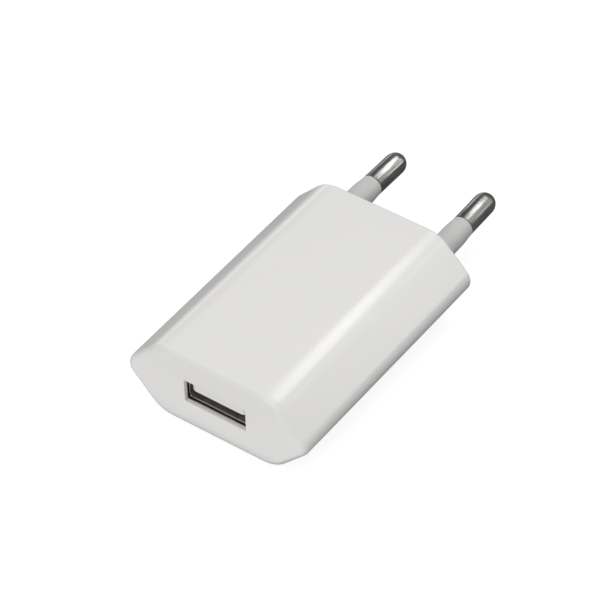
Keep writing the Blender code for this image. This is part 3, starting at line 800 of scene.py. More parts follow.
MAINS_SPRING_X = 9.55
bronze = metal("spring_bronze", (0.76, 0.52, 0.32), (0.55, 0.33, 0.2), 0.32,
               (300.0, 2600.0, 2600.0), depth=0.0015, amount=0.6)

for side, label in ((-1, "left"), (1, "right")):
    face = PIN_HEAD_DEPTH - 0.06
    foot = BOARD_TOP + 0.18
    path = [(-3.3, foot), (-2.6, foot), (-1.9, foot)]
    path += arc((-1.9, foot + 0.8), 0.8, -90, 0, 6)[1:]
    path += [(-1.1, PIN_Z - 1.5), (-0.62, PIN_Z - 0.75)]
    path += arc((-0.62, PIN_Z), 0.45, -30, 30, 4)
    path += [(-0.7, PIN_Z + 0.9), (-1.1, PIN_Z + 1.5)]
    bm = bmesh.new()
    strip(bm, path, 1.8, 0.35, side * MAINS_SPRING_X, face, 0.0)
    fit(to_object("mains_spring_%s_strip" % label, bm, bronze), "mains_spring_" + label)


# --- Circuit board -----------------------------------------------------------------------
# Tan paper laminate, sawn to size and slotted for the socket's legs. Green lacquer covers
# its underside, where copper tracks run between the solder joints.

board_low, board_high = box_mm("circuit_board")
BOARD_FRONT = board_low.y - FRONT
BOARD_BACK = board_high.y - FRONT
LEG_X = SOCKET_HALF[0] + SHEET / 2
SLOTS = (7.95, 10.05)                                # for the socket's legs: front, rear


def board_material():
    """Paper fibres in tan resin, and green lacquer on the faces that look down."""
    material, tree, shader = start_material("board_laminate", Specular_IOR_Level=0.45)
    place = object_place(tree)
    fibre = texture(tree, "Noise", place, Scale=1800.0, Detail=5.0)
    weave = texture(tree, "Wave", place, Scale=900.0, Distortion=6.0, Detail=2.0)
    tan = blend_colour(tree, fibre, (0.30, 0.19, 0.085, 1), (0.58, 0.42, 0.22, 1))
    green = blend_colour(tree, weave, (0.014, 0.12, 0.05, 1), (0.016, 0.13, 0.056, 1))
    facing = node(tree, "ShaderNodeSeparateXYZ")
    tree.links.new(tree.nodes.new("ShaderNodeNewGeometry").outputs["Normal"], facing.inputs[0])
    under = calc(tree, "LESS_THAN", facing.outputs[2], -0.5)
    tree.links.new(blend_colour(tree, under, tan, green), shader.inputs["Base Color"])
    rough = calc(tree, "ADD", 0.55, calc(tree, "MULTIPLY", under, -0.3))
    tree.links.new(rough, shader.inputs["Roughness"])
    bump(tree, shader, fibre, 0.008)
    return material


bm = bmesh.new()
block(bm, (board_low.x, BOARD_FRONT, board_low.z), (board_high.x, BOARD_BACK, board_high.z), 0.08)
laminate = board_material()
board = to_object("circuit_board_laminate", bm, laminate)
bm = bmesh.new()
for side in (-1, 1):
    x = side * LEG_X
    block(bm, (x - SHEET, SLOTS[0], BOARD_UNDER - 1), (x + SHEET, SLOTS[1], BOARD_TOP + 1), 0.1)
combine(board, to_object("slots", bm, laminate), "DIFFERENCE")
true_flats(board)
fit(board, "circuit_board")

# Where wires and legs come through the board, in millimetres across and behind the front
joints = [(x, SOCKET_BACK + 1.1) for x in CONTACT_X]
joints += [(side * LEG_X, 9.0) for side in (-1, 1)]
joints += [(side * MAINS_SPRING_X, PIN_HEAD_DEPTH - 3.0) for side in (-1, 1)]


def wire(bm, points, radius, sides=10):
    """A round wire along a line of points (across, depth, height)."""
    points = [Vector(p) for p in points]
    rings = []
    aside = None
    for i, point in enumerate(points):
        along = (points[min(i + 1, len(points) - 1)] - points[max(i - 1, 0)]).normalized()
        if aside is None:
            aside = along.orthogonal().normalized()
        aside = (aside - along * aside.dot(along)).normalized()
        over = along.cross(aside)
        rings.append([bm.verts.new(point + (aside * math.cos(a) + over * math.sin(a)) * radius)
                      for a in (2 * math.pi * k / sides for k in range(sides))])
    solid(bm, rings)


THIN_LEAD = 0.26


def bent_lead(bm, x, depth, z, reach, radius=0.3):
    """A wire that leaves a part along Y, turns down and ends just under the board."""
    bend = 0.7
    sign = 1 if reach > 0 else -1
    points = [(x, depth - 0.4 * sign, z)]
    for k in range(6):
        angle = math.pi / 2 * k / 5
        points.append((x, depth + reach - sign * bend * (1 - math.sin(angle)),
                       z - bend * (1 - math.cos(angle))))
    points.append((x, depth + reach, WIRE_END))
    wire(bm, points, radius)
    joints.append((x, depth + reach))


# --- Transformer -------------------------------------------------------------------------
# Two ferrite E halves close round a black bobbin. Fine enamelled wire is wound on it first,
# then thicker wire, then yellow film. Pins in the bobbin's rails go through the board.

core_low, core_high = box_mm("transformer_core_left")
CORE_DEPTH = (core_low.y + core_high.y) / 2 - FRONT
CORE_Z = (core_low.z + core_high.z) / 2
CORE_HALF_WIDTH = (core_high.y - core_low.y) / 2
CORE_HALF_LENGTH = core_high.x - core_low.x
CORE_HALF_HEIGHT = (core_high.z - core_low.z) / 2
CORE_BACK = 1.9
MID_LEG_HALF = 2.0
OUTER_LEG = 1.8
COIL_HALF_LENGTH = 3.6
BOBBIN_WALL = 0.4
BOBBIN_Y = MID_LEG_HALF + 0.25
BOBBIN_Z = CORE_HALF_HEIGHT + 0.25


def ferrite_material():
    material, tree, shader = start_material("ferrite", Specular_IOR_Level=0.4)
    place = object_place(tree)
    grain = texture(tree, "Noise", place, Scale=5200.0, Detail=4.0)
    lap = texture(tree, "Noise", place, Scale=380.0, Detail=2.0)
    tree.links.new(blend_colour(tree, grain, (0.02, 0.02, 0.022, 1),
                                (0.085, 0.085, 0.09, 1)), shader.inputs["Base Color"])
    tree.links.new(calc(tree, "MULTIPLY_ADD", lap, 0.3, 0.42), shader.inputs["Roughness"])
    bump(tree, shader, grain, 0.012)
    return material


ferrite = ferrite_material()
bobbin_black = plastic("bobbin_plastic", (0.03, 0.03, 0.032), (0.05, 0.05, 0.05), 0.42,
                       peel_size=1800.0, peel_depth=0.004)

for side, label in ((-1, "left"), (1, "right")):
    back_x, half = CORE_HALF_LENGTH, CORE_HALF_WIDTH
    root, window = back_x - CORE_BACK, half - OUTER_LEG
    corners = [(back_x, -half), (back_x, half), (0, half), (0, window), (root, window),
               (root, MID_LEG_HALF), (0, MID_LEG_HALF), (0, -MID_LEG_HALF), (root, -MID_LEG_HALF),
               (root, -window), (0, -window), (0, -half)]
    bm = bmesh.new()
    rings = [[bm.verts.new((side * (x + 0.04), y + CORE_DEPTH, CORE_Z + z)) for x, y in corners]
             for z in (-CORE_HALF_HEIGHT, CORE_HALF_HEIGHT)]
    solid(bm, rings)
    bmesh.ops.recalc_face_normals(bm, faces=bm.faces)
    bmesh.ops.bevel(bm, geom=bm.edges[:], offset=0.12, segments=2, affect="EDGES", profile=0.5)
    core = to_object("transformer_core_%s_half" % label, bm, ferrite)
    fit(core, "transformer_core_" + label)


def sleeve_ring(bm, half_y, half_z, radius, thick, x_low, x_high):
    """A rectangular ring round the bobbin's axis, thick on all sides, from x_low to x_high."""
    rings = []
    for out, x in ((thick, x_low), (thick, x_high), (0, x_high), (0, x_low)):
        outline = box_outline(half_y + out, half_z + out, 0, radius + out, 5)
        rings.append([bm.verts.new((x, y + CORE_DEPTH, z + CORE_Z)) for y, z in outline])
    bridge_all(bm, rings, closed=True)


bm = bmesh.new()
reach = COIL_HALF_LENGTH + 0.6
sleeve_ring(bm, BOBBIN_Y, BOBBIN_Z, 0.15, BOBBIN_WALL, -reach, reach)
bobbin = to_object("transformer_bobbin_moulding", bm, bobbin_black)
bm = bmesh.new()
for side in (-1, 1):
    inner, outer = sorted((side * (reach - 0.5), side * reach))
    sleeve_ring(bm, BOBBIN_Y + 0.1, BOBBIN_Z + 0.1, 0.15, 2.05, inner, outer)
    inner, outer = sorted((side * (COIL_HALF_LENGTH + 0.15), side * (COIL_HALF_LENGTH + 4.05)))
    block(bm, (inner, CORE_DEPTH - 4.4, BOARD_TOP + 0.4),
          (outer, CORE_DEPTH + 4.4, BOARD_TOP + 1.9), 0.12)
combine(bobbin, to_object("flanges", bm, bobbin_black), "UNION")
fit(bobbin, "transformer_bobbin")


def geometry_tree(name, inputs):
    """An empty Geometry Nodes tree with named inputs (name, kind)."""
    tree = bpy.data.node_groups.new(name, "GeometryNodeTree")
    for label, kind in [("Geometry", "Geometry"), *inputs, ("Material", "Material")]:
        tree.interface.new_socket(label, in_out="INPUT", socket_type="NodeSocket" + kind)
    tree.interface.new_socket("Geometry", in_out="OUTPUT", socket_type="NodeSocketGeometry")
    return tree, tree.nodes.new("NodeGroupInput").outputs


def wire_up(tree, kind, **sockets):
    """Add a geometry node and feed its inputs, by name, from sockets or plain values."""
    made = tree.nodes.new(kind)
    for label, value in sockets.items():
        label = label.replace("_", " ")
        target = next(s for s in made.inputs if s.name == label and s.enabled)
        feed(tree, target, value)
    return made


def end_tree(tree, given, geometry):
    """Make the instances real, give them the material and put them out."""
    real = wire_up(tree, "GeometryNodeRealizeInstances", Geometry=geometry)
    painted = wire_up(tree, "GeometryNodeSetMaterial", Geometry=real.outputs[0],
                      Material=given["Material"])
    result = tree.nodes.new("NodeGroupOutput")
    tree.links.new(painted.outputs[0], result.inputs[0])


def grow(name, tree, bm, material, **values):
    """Run a tree on a mesh in millimetres and keep the result as a plain object."""
    base = bpy.data.meshes.new(name + "_base")
    bm.to_mesh(base)
    bm.free()
    maker = add_object(name + "_maker", base)
    nodes = maker.modifiers.new("nodes", "NODES")
    nodes.node_group = tree
    for item in tree.interface.items_tree:
        if item.in_out != "INPUT" or item.name == "Geometry":
            continue
        nodes[item.identifier] = material if item.name == "Material" else values[
            item.name.lower().replace(" ", "_")]
    settle(maker)
    grown = bmesh.new()
    grown.from_mesh(maker.data)
    bpy.data.objects.remove(maker)
    bmesh.ops.remove_doubles(grown, verts=grown.verts, dist=0.001)
    return to_object(name, grown, material)


def swept_row(tree, given, loop, section, turn, count, axis):
    """Sweep a section round a loop, turn it and set copies of it on a line at a pitch."""
    turned_loop = wire_up(tree, "GeometryNodeTransform", Geometry=loop, Rotation=turn)
    swept = tree.nodes.new("GeometryNodeCurveToMesh")
    tree.links.new(turned_loop.outputs[0], swept.inputs["Curve"])
    tree.links.new(section, swept.inputs["Profile Curve"])
    step = tree.nodes.new("ShaderNodeCombineXYZ")
    tree.links.new(given["Pitch"], step.inputs[axis])
    row = wire_up(tree, "GeometryNodeMeshLine", Count=given[count],
                  Start_Location=given["Start"], Offset=step.outputs[0])
    placed = wire_up(tree, "GeometryNodeInstanceOnPoints", Points=row.outputs[0],
                     Instance=swept.outputs[0])
    end_tree(tree, given, placed.outputs[0])
    return tree


def winding_tree():
    """Turns of wire: rounded-rectangle loops round X, set side by side at a pitch."""
    tree, given = geometry_tree("wire_turns", [
        ("Turns", "Int"), ("Pitch", "Float"), ("Wire Radius", "Float"), ("Width", "Float"),
        ("Height", "Float"), ("Corner", "Float"), ("Start", "Vector")])
    loop = tree.nodes.new("GeometryNodeCurvePrimitiveQuadrilateral")
    tree.links.new(given["Height"], loop.inputs["Width"])
    tree.links.new(given["Width"], loop.inputs["Height"])
    soft = tree.nodes.new("GeometryNodeFilletCurve")
    soft.mode = "POLY"
    tree.links.new(loop.outputs[0], soft.inputs["Curve"])
    tree.links.new(given["Corner"], soft.inputs["Radius"])
    soft.inputs["Count"].default_value = 5
    section = wire_up(tree, "GeometryNodeCurvePrimitiveCircle", Resolution=8,
                      Radius=given["Wire Radius"])
    return swept_row(tree, given, soft.outputs[0], section.outputs[0], (0.0, math.pi / 2, 0.0),
                     "Turns", "X")


enamel = metal("enamelled_copper", (0.62, 0.26, 0.10), (0.40, 0.13, 0.05), 0.26,
               (900.0, 900.0, 900.0), depth=0.001, amount=0.5, Coat_Weight=0.6,
               Coat_Roughness=0.15)
turns = winding_tree()
coil_y, coil_z = BOBBIN_Y + BOBBIN_WALL, BOBBIN_Z + BOBBIN_WALL
for node_name, start, gauge in (("primary_winding", 0.3, 0.18),
                                ("secondary_winding", 1.02, 0.36)):
    pitch = gauge * 1.04
    count = int(2 * (COIL_HALF_LENGTH - 0.15) / pitch)
    coil = grow(node_name + "_turns", turns, bmesh.new(), enamel, turns=count, pitch=pitch,
                wire_radius=gauge / 2, width=2 * (coil_y + start), height=2 * (coil_z + start),
                corner=0.5 + start * 0.4,
                start=(-pitch * (count - 1) / 2, CORE_DEPTH, CORE_Z))
    fit(coil, node_name)


def film_material():
    """Yellow polyester film: thin, glossy, a little see-through over the copper."""
    material, tree, shader = start_material("polyester_tape", Coat_Weight=0.3, IOR=1.6)
    place = object_place(tree)
    lap = texture(tree, "Wave", place, Scale=140.0, Distortion=3.0, Detail=2.0)
    crease = texture(tree, "Noise", place, Scale=620.0, Detail=3.0)
    tree.links.new(blend_colour(tree, lap, (0.72, 0.46, 0.02, 1),
                                (0.86, 0.62, 0.05, 1)), shader.inputs["Base Color"])
    tree.links.new(calc(tree, "MULTIPLY_ADD", crease, 0.1, 0.28), shader.inputs["Roughness"])
    bump(tree, shader, crease, 0.02)
    return material


bm = bmesh.new()
tape_half = COIL_HALF_LENGTH - 0.15
sleeve_ring(bm, coil_y + 1.6, coil_z + 1.6, 1.1, 0.08, -tape_half, tape_half)
# The free end of the tape laps over the top
block(bm, (-tape_half, CORE_DEPTH - 2.6, CORE_Z + coil_z + 1.66),
      (tape_half, CORE_DEPTH + 1.9, CORE_Z + coil_z + 1.74), 0.02, 1)
fit(to_object("winding_tape_wrap", bm, film_material()), "winding_tape")

solder = metal("solder", (0.72, 0.72, 0.71), (0.5, 0.5, 0.5), 0.22, (700.0, 700.0, 700.0),
               depth=0.004, amount=0.5)
bm = bmesh.new()
for side in (-1, 1):
    for k in range(4):
        x, depth = side * (COIL_HALF_LENGTH + 3.3), CORE_DEPTH - 3.6 + 2.4 * k
        wire(bm, [(x, depth, BOARD_TOP + 1.2), (x, depth, BOARD_TOP), (x, depth, WIRE_END)], 0.3)
        joints.append((x, depth))
add_on(to_object("transformer_pins", bm, solder))


# --- Capacitor cans ----------------------------------------------------------------------
# Electrolytic capacitors on their sides: an aluminium can in a dark shrink sleeve, crimped
# over a rubber bung, with a scored vent in its closed end and two wires out of the bung.

can_sleeve = plastic("can_sleeve", (0.02, 0.026, 0.05), (0.03, 0.035, 0.06), 0.32,
                     peel_size=700.0, peel_depth=0.01, Coat_Weight=0.2)
can_metal = metal("can_aluminium", (0.78, 0.78, 0.79), (0.62, 0.62, 0.63), 0.3,
                  (500.0, 500.0, 500.0), depth=0.002)
bung_rubber = plastic("bung_rubber", (0.025, 0.025, 0.025), (0.04, 0.04, 0.04), 0.7,
                      peel_size=3000.0, peel_depth=0.01)
BUNG_END_X = 1.3


def add_can(name, x, front, z, radius, length):
    """A can whose bung faces the pins. The sleeve piece stands for the CAD node."""
    crimp = length - 1.6
    profile = [(radius - 0.9, 0.0)] + arc((radius - 0.55, 0.5), 0.5, 270, 360, 5)
    profile = [(r, y) for r, y in profile if r > radius - 1.0]
    profile += [(radius, 0.6), (radius, crimp - 0.6)]
    for k in range(1, 8):
        wave = math.sin(math.pi * k / 8) ** 2
        profile.append((radius - 0.4 * wave, crimp - 0.6 + 1.2 * k / 8))
    profile += [(radius, crimp + 0.6), (radius, length - 0.4)]
    profile += arc((radius - 0.4, length - 0.4), 0.4, 0, 90, 4)[1:]
    profile += [(radius - 0.9, length), (radius - 0.9, length - 0.1)]
    profile += [(radius - 0.12, length - 0.5), (radius - 0.12, 0.5), (radius - 0.9, 0.1)]
    bm = bmesh.new()
    turned(bm, profile, 64, closed=True)
    fit(to_object(name + "_sleeve", place(bm, x, front, z), can_sleeve), name)

    bm = bmesh.new()
    inside = radius - 0.16
    turned(bm, [(0, 0.12), (inside - 0.8, 0.12), (inside - 0.1, 0.4), (inside, 1.0),
                (inside, 1.4), (0, 1.4)], 64)
    can = to_object(name + "_can_end", place(bm, x, front, z), can_metal)
    for turn in (0.6, 0.6 + math.pi / 2):
        groove = bmesh.new()
        block(groove, (-radius * 0.6, -0.1, -0.06), (radius * 0.6, 0.17, 0.06), 0.0)
        bmesh.ops.rotate(groove, verts=groove.verts, matrix=Matrix.Rotation(turn, 3, "Y"))
        combine(can, to_object("vent", place(groove, x, front, z), can_metal), "DIFFERENCE")
    true_flats(can)
    add_on(can)

    bm = bmesh.new()
    turned(bm, [(0, length - 1.2), (radius - 0.95, length - 1.2), (radius - 0.95, length - 0.25),
                (radius - 1.15, length - 0.12), (0, length - 0.12)], 48)
    add_on(to_object(name + "_bung", place(bm, x, front, z), bung_rubber))
    bm = bmesh.new()
    for side in (-1, 1):
        bent_lead(bm, x + side * BUNG_END_X, front + length - 0.1, z, 1.0)
    add_on(to_object(name + "_wires", bm, solder))


for name, radius, length in (("input_capacitor_1", 4.0, 10.2), ("input_capacitor_2", 4.0, 10.2),
                             ("output_capacitor", 3.15, 11.0)):
    low, high = box_mm(name)
    add_can(name, (low.x + high.x) / 2, low.y - FRONT, high.z - radius, radius, length)


# --- Axial parts -------------------------------------------------------------------------
# The fusible resistor, choke and diodes lie along the board on their bent wires. Their
# bodies are dipped or moulded, and printed rings go round them.

def ring_tree():
    """Printed rings round Y: short tubes on a line, just proud of the body."""
    tree, given = geometry_tree("printed_rings", [
        ("Count", "Int"), ("Pitch", "Float"), ("Radius", "Float"), ("Width", "Float"),
        ("Start", "Vector")])
    loop = wire_up(tree, "GeometryNodeCurvePrimitiveCircle", Resolution=40, Radius=given["Radius"])
    section = tree.nodes.new("GeometryNodeCurvePrimitiveQuadrilateral")
    section.inputs["Width"].default_value = 0.05
    tree.links.new(given["Width"], section.inputs["Height"])
    return swept_row(tree, given, loop.outputs[0], section.outputs[0], (math.pi / 2, 0.0, 0.0),
                     "Count", "Y")


rings_tree = ring_tree()
resistor_blue = plastic("resistor_coat", (0.10, 0.25, 0.40), (0.08, 0.20, 0.34), 0.5,
                        peel_size=1500.0, peel_depth=0.02)
choke_green = plastic("choke_coat", (0.10, 0.30, 0.14), (0.07, 0.24, 0.10), 0.42,
                      peel_size=1200.0, peel_depth=0.02)
epoxy_black = plastic("epoxy_black", (0.022, 0.022, 0.022), (0.04, 0.04, 0.04), 0.45,
                      peel_size=3500.0, peel_depth=0.006)
ring_ink = plastic("ring_ink", (0.72, 0.70, 0.64), (0.6, 0.58, 0.52), 0.5)
ring_gold = plastic("ring_gold", (0.55, 0.36, 0.10), (0.45, 0.28, 0.08), 0.4)


def add_axial(name, radius, length, waist, material, ring_count, ring_start, ring_pitch, ink):
    """waist is how much thinner the middle is than the ends, as on a dipped resistor."""
    low, high = box_mm(name)
    x, z = (low.x + high.x) / 2, (low.z + high.z) / 2
    front = (low.y + high.y) / 2 - length / 2 - FRONT
    bulge = length * 0.2
    profile = [(0, 0.02), (0.35, 0.02)]
    for k in range(9):
        angle = math.pi / 2 * k / 8
        profile.append((0.35 + (radius - 0.35) * math.sin(angle), 0.5 * (1 - math.cos(angle))))
    for k in range(9):
        t = k / 8
        dip = waist * (0.5 - 0.5 * math.cos(math.pi * t))
        profile.append((radius - dip, 0.5 + 0.5 * bulge + bulge * t))
    profile += [(r, length - y) for r, y in reversed(profile)]
    bm = bmesh.new()
    turned(bm, profile, 40)
    fit(to_object(name + "_body", place(bm, x, front, z), material), name)
    bm = bmesh.new()
    bent_lead(bm, x, front, z, -1.1, THIN_LEAD)
    bent_lead(bm, x, front + length, z, 1.1, THIN_LEAD)
    add_on(to_object(name + "_wires", bm, solder))
    bands = grow(name + "_rings", rings_tree, bmesh.new(), ink, count=ring_count,
                 pitch=ring_pitch, radius=radius - waist + 0.005, width=0.5,
                 start=(x, front + ring_start, z))
    add_on(bands)


add_axial("fusible_resistor", 1.5, 6.5, 0.22, resistor_blue, 3, 2.4, 0.85, ring_ink)
add_axial("filter_choke", 1.6, 6.5, 0.12, choke_green, 3, 2.4, 0.85, ring_gold)
add_axial("output_diode", 1.5, 6.5, 0.0, epoxy_black, 1, 1.2, 1.0, ring_ink)
add_axial("clamp_diode", 1.3, 4.8, 0.0, epoxy_black, 1, 1.0, 1.0, ring_ink)


# --- Safety capacitor --------------------------------------------------------------------
# A ceramic disc dipped in blue epoxy, standing on edge beside the transformer, with its coat
# run a little way down both wires.

DISC_HALF_THICKNESS = 1.15
disc_blue = plastic("disc_coat", (0.03, 0.16, 0.45), (0.02, 0.12, 0.36), 0.34,
                    peel_size=900.0, peel_depth=0.03, Coat_Weight=0.3)
disc_low, disc_high = box_mm("safety_capacitor")
disc_x = (disc_low.x + disc_high.x) / 2
disc_depth = (disc_low.y + disc_high.y) / 2 - FRONT
disc_radius = (disc_high.y - disc_low.y) / 2
disc_z = disc_high.z - disc_radius
bm = bmesh.new()
profile = [(0, -DISC_HALF_THICKNESS)]
profile += [(disc_radius - 0.9 + 0.9 * math.cos(math.radians(a)),
             DISC_HALF_THICKNESS * math.sin(math.radians(a))) for a in range(-90, 91, 10)]
profile += [(0, DISC_HALF_THICKNESS)]
turned(bm, profile, 56)
place(bm, 0, 0, 0, math.pi / 2)
place(bm, disc_x, disc_depth, disc_z)
disc = to_object("safety_capacitor_disc", bm, disc_blue)
bm = bmesh.new()
for side in (-1, 1):
    y = disc_depth + side * 1.6
    wire(bm, [(disc_x, y, disc_z - 1.2), (disc_x, y, disc_z - 2.6), (disc_x, y, BOARD_TOP + 0.5)],
         0.42, 16)
combine(disc, to_object("runs", bm, disc_blue), "UNION")
fit(disc, "safety_capacitor")
bm = bmesh.new()
for side in (-1, 1):
    y = disc_depth + side * 1.6
    wire(bm, [(disc_x, y, BOARD_TOP + 0.8), (disc_x, y, BOARD_TOP), (disc_x, y, WIRE_END)],
         THIN_LEAD)
    joints.append((disc_x, y))
add_on(to_object("safety_capacitor_wires", bm, solder))


# --- Parts under the board ---------------------------------------------------------------
# The rectifier and the controller are moulded packages with bent legs; the ceramic capacitor
# and the load resistor are small blocks with tinned ends, all soldered to the underside.

def leg_tree():
    """Two rows of one bent leg, mirrored across the package."""
    tree, given = geometry_tree("leg_rows", [("Count", "Int"), ("Pitch", "Float"),
                                             ("Start", "Vector"), ("Far Start", "Vector")])
    step = tree.nodes.new("ShaderNodeCombineXYZ")
    tree.links.new(given["Pitch"], step.inputs["X"])
    both = tree.nodes.new("GeometryNodeJoinGeometry")
    for label, turn in (("Start", 0.0), ("Far Start", math.pi)):
        row = wire_up(tree, "GeometryNodeMeshLine", Count=given["Count"],
                      Start_Location=given[label], Offset=step.outputs[0])
        turned_leg = wire_up(tree, "GeometryNodeTransform", Geometry=given["Geometry"],
                             Rotation=(0.0, 0.0, turn))
        placed = wire_up(tree, "GeometryNodeInstanceOnPoints", Points=row.outputs[0],
                         Instance=turned_leg.outputs[0])
        tree.links.new(placed.outputs[0], both.inputs[0])
    end_tree(tree, given, both.outputs[0])
    return tree


MOULD_DRAFT = 0.14
legs_tree = leg_tree()
for name, count, pitch in (("bridge_rectifier", 2, 2.5), ("controller_chip", 4, 1.27)):
    low, high = box_mm(name)
    front, rear = low.y - FRONT, high.y - FRONT
    bm = bmesh.new()
    middle = (low.z + high.z) / 2
    # Drafted mould halves meet at the height where the legs come out
    for end in (low.z, high.z):
        halves = bmesh.ops.create_cube(bm, size=1.0)["verts"]
        bottom, top = sorted((end, middle))
        for vert in halves:
            draft = MOULD_DRAFT if abs((top if vert.co.z > 0 else bottom) - end) < 1e-6 else 0.0
            vert.co = ((low.x + high.x) / 2 + vert.co.x * (high.x - low.x - 2 * draft),
                       (front + rear) / 2 + vert.co.y * (rear - front - 2 * draft),
                       top if vert.co.z > 0 else bottom)
    bmesh.ops.remove_doubles(bm, verts=bm.verts, dist=0.001)
    shared = [face for face in bm.faces if abs(face.calc_center_median().z - middle) < 1e-4]
    bmesh.ops.delete(bm, geom=shared, context="FACES_ONLY")
    bmesh.ops.recalc_face_normals(bm, faces=bm.faces)
    bmesh.ops.bevel(bm, geom=bm.edges[:], offset=0.06, segments=2, affect="EDGES", profile=0.5)
    fit(to_object(name + "_body", bm, epoxy_black), name)
    leg = bmesh.new()
    strip(leg, [(0.3, 0), (-0.35, 0), (-0.5, 0.12), (-0.62, BOARD_UNDER - middle - 0.2),
                (-0.75, BOARD_UNDER - middle - 0.08), (-1.15, BOARD_UNDER - middle - 0.08)],
          0.42, 0.16)
    first = (low.x + high.x) / 2 - pitch * (count - 1) / 2
    legs = grow(name + "_legs", legs_tree, leg, solder, count=count, pitch=pitch,
                start=(first, front, middle), far_start=(first, rear, middle))
    add_on(legs)

chip_ceramic = plastic("chip_ceramic", (0.42, 0.30, 0.20), (0.36, 0.25, 0.16), 0.4,
                       peel_size=2500.0, peel_depth=0.006)
for name, material in (("ceramic_capacitor", chip_ceramic), ("load_resistor", epoxy_black)):
    low, high = box_mm(name)
    front, rear = low.y - FRONT, high.y - FRONT
    bm = bmesh.new()
    block(bm, (low.x + 0.3, front + 0.04, low.z + 0.04),
          (high.x - 0.3, rear - 0.04, high.z - 0.04), 0.08)
    fit(to_object(name + "_body", bm, material), name)
    bm = bmesh.new()
    for inner, outer in ((low.x + 0.55, low.x), (high.x - 0.55, high.x)):
        left, right = sorted((inner, outer))
        block(bm, (left, front, low.z), (right, rear, BOARD_UNDER - 0.04), 0.08)
    add_on(to_object(name + "_ends", bm, solder))


# --- Solder joints and tracks ------------------------------------------------------------
# A cone of solder stands round every wire and leg that comes through the board, and flat
# copper tracks under the lacquer join some of them.

def joint_tree():
    """One small lathe-shaped cone of solder at every point, upside down."""
    tree, given = geometry_tree("solder_cones", [("Foot", "Float"), ("Tip", "Float"),
                                                 ("Height", "Float")])
    cone = wire_up(tree, "GeometryNodeMeshCone", Vertices=20, Side_Segments=4, Fill_Segments=1,
                   Radius_Top=given["Tip"], Radius_Bottom=given["Foot"], Depth=given["Height"])
    flipped = wire_up(tree, "GeometryNodeTransform", Geometry=cone.outputs[0],
                      Rotation=(math.pi, 0.0, 0.0))
    placed = wire_up(tree, "GeometryNodeInstanceOnPoints", Points=given["Geometry"],
                     Instance=flipped.outputs[0])
    end_tree(tree, given, placed.outputs[0])
    return tree


bm = bmesh.new()
for x, depth in joints:
    bm.verts.new((x, depth, BOARD_UNDER - 0.02))
cones = grow("solder_joints", joint_tree(), bm, solder, foot=0.72, tip=0.3, height=0.6)
add_on(cones)

copper_track = metal("copper_track", (0.16, 0.34, 0.14), (0.1, 0.26, 0.1), 0.3,
                     (600.0, 600.0, 600.0), depth=0.002, Coat_Weight=0.6)
bm = bmesh.new()
spots = sorted(joints, key=lambda spot: (round(spot[1]), spot[0]))
for (x_a, y_a), (x_b, y_b) in zip(spots[::2], spots[1::2]):
    if abs(x_a - x_b) + abs(y_a - y_b) > 9.0:
        continue
    along = Vector((x_b - x_a, y_b - y_a, 0))
    aside = Vector((-along.y, along.x, 0)).normalized() * 0.55
    corners = [Vector((x_a, y_a, 0)) + aside, Vector((x_b, y_b, 0)) + aside,
               Vector((x_b, y_b, 0)) - aside, Vector((x_a, y_a, 0)) - aside]
    rows = [[bm.verts.new((p.x, p.y, z)) for p in corners]
            for z in (BOARD_UNDER - 0.04, BOARD_UNDER + 0.02)]
    solid(bm, rows)
add_on(to_object("copper_tracks", bm, copper_track))


# --- Studio ------------------------------------------------------------------------------
# A pale floor under the charger, strip lights above its far end that run a highlight down
# the long edge, soft boxes round it, a lit card on the floor and a faint even sky.

LENS = 200.3
CAMERA_AIM = Vector((-0.00155, -0.00744, 0.01016))
CAMERA_DISTANCE = 0.5454
CAMERA_AZIMUTH = math.radians(36.995)
CAMERA_ELEVATION = math.radians(43.868)
CAMERA_ROLL = math.radians(-1.967)


def direction(azimuth, elevation):
    """Unit vector towards a point at an azimuth (0 is -Y, the USB end) and elevation."""
    return Vector((math.sin(azimuth) * math.cos(elevation),
                   -math.cos(azimuth) * math.cos(elevation), math.sin(elevation)))


camera_data = bpy.data.cameras.new("camera")
camera_data.lens = LENS
camera_data.sensor_width = 36.0
camera_data.clip_start = 0.05
camera_data.clip_end = 10.0
camera = add_object("camera", camera_data)
back = direction(CAMERA_AZIMUTH, CAMERA_ELEVATION)
camera.location = CAMERA_AIM + back * CAMERA_DISTANCE
roll = Matrix.Rotation(CAMERA_ROLL, 4, back)
camera.matrix_world = (Matrix.Translation(camera.location) @
                       roll @ (-back).to_track_quat("-Z", "Y").to_matrix().to_4x4())
bpy.context.scene.camera = camera

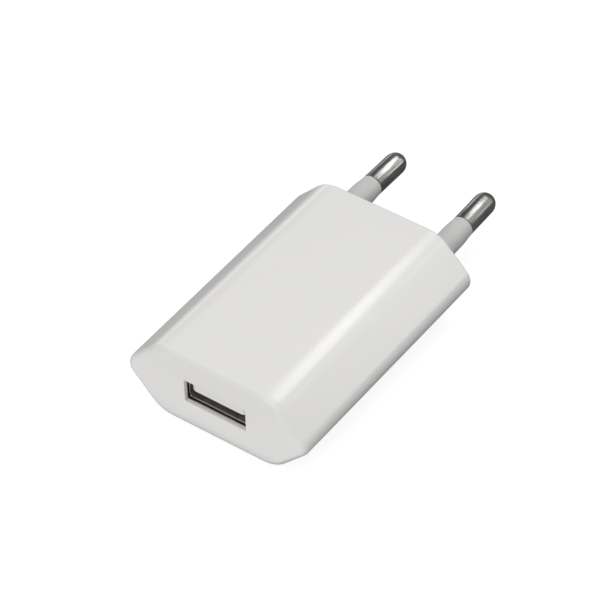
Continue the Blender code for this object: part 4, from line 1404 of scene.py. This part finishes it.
floor_bm = bmesh.new()
bmesh.ops.create_grid(floor_bm, x_segments=1, y_segments=1, size=1.5)
floor_mesh = bpy.data.meshes.new("floor")
floor_bm.to_mesh(floor_mesh)
floor_bm.free()
floor = add_object("floor", floor_mesh)
floor.location = (0, 0, cad_low.z - 0.00005)
paper, paper_tree, paper_shader = start_material(
    "floor_paper", Base_Color=(0.25, 0.25, 0.25, 1), Roughness=0.9, Specular_IOR_Level=0.1,
    Emission_Color=(1, 1, 1, 1))
seen = paper_tree.nodes.new("ShaderNodeLightPath").outputs["Is Camera Ray"]
paper_tree.links.new(calc(paper_tree, "MULTIPLY", seen, 0.86),
                     paper_shader.inputs["Emission Strength"])
floor_mesh.materials.append(paper)
floor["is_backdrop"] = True


def softbox(name, towards, distance, width, height, brightness):
    """A rectangular soft light that faces the charger. Brightness is that of its face."""
    data = bpy.data.lights.new(name, "AREA")
    data.shape = "RECTANGLE"
    data.size = width
    data.size_y = height
    data.energy = brightness * math.pi * width * height
    lamp = add_object(name, data)
    towards = Vector(towards).normalized()
    lamp.location = towards * distance
    lamp.rotation_euler = towards.to_track_quat("Z", "Y").to_euler()
    lamp.visible_camera = False
    return lamp


# Three strips, one inside the other, so that the highlight fades at both sides
for width, brightness in ((0.35, 5.6), (0.70, 4.4), (0.90, 1.0)):
    softbox("edge_strip", (0.09, 0.575, 0.817), 1.0, width, 0.2, brightness)
softbox("front_softbox", (0.11, -0.80, 0.60), 1.0, 0.9, 1.0, 2.0)
softbox("front_low", (-0.25, -0.95, 0.16), 1.0, 0.9, 0.24, 0.3)
softbox("rear_right", (0.6, 0.68, 0.42), 1.0, 0.5, 0.5, 1.9)
softbox("rear_left", (-0.85, 0.50, 0.15), 0.22, 0.24, 0.05, 1.35)
softbox("top_softbox", (0.0, 0.0, 1.0), 1.0, 0.6, 0.6, 1.05)
# A lit card lies face up on the floor in front and brightens the lower rim
CARD_WIDTH = 0.06
card = softbox("front_card", (0.0, 0.0, -1.0), 1.0, 0.14, CARD_WIDTH, 0.53)
card.location = (0.0, cad_low.y - 0.001 - CARD_WIDTH / 2, cad_low.z + 0.0003)

sky = bpy.data.worlds.new("studio_sky")
bpy.context.scene.world = sky
sky.use_nodes = True
sky_tree = sky.node_tree
seen = sky_tree.nodes.new("ShaderNodeLightPath").outputs["Is Camera Ray"]
sky_tree.links.new(calc(sky_tree, "MULTIPLY_ADD", seen, 0.75, 0.25),
                   sky_tree.nodes["Background"].inputs["Strength"])
sky_tree.nodes["Background"].inputs["Color"].default_value = (1.0, 1.0, 1.0, 1)
bpy.context.scene.view_settings.view_transform = "Standard"


# --- Box of the finished model -----------------------------------------------------------
# The finished model's box; the CAD model's box was found at the start.

low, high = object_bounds()
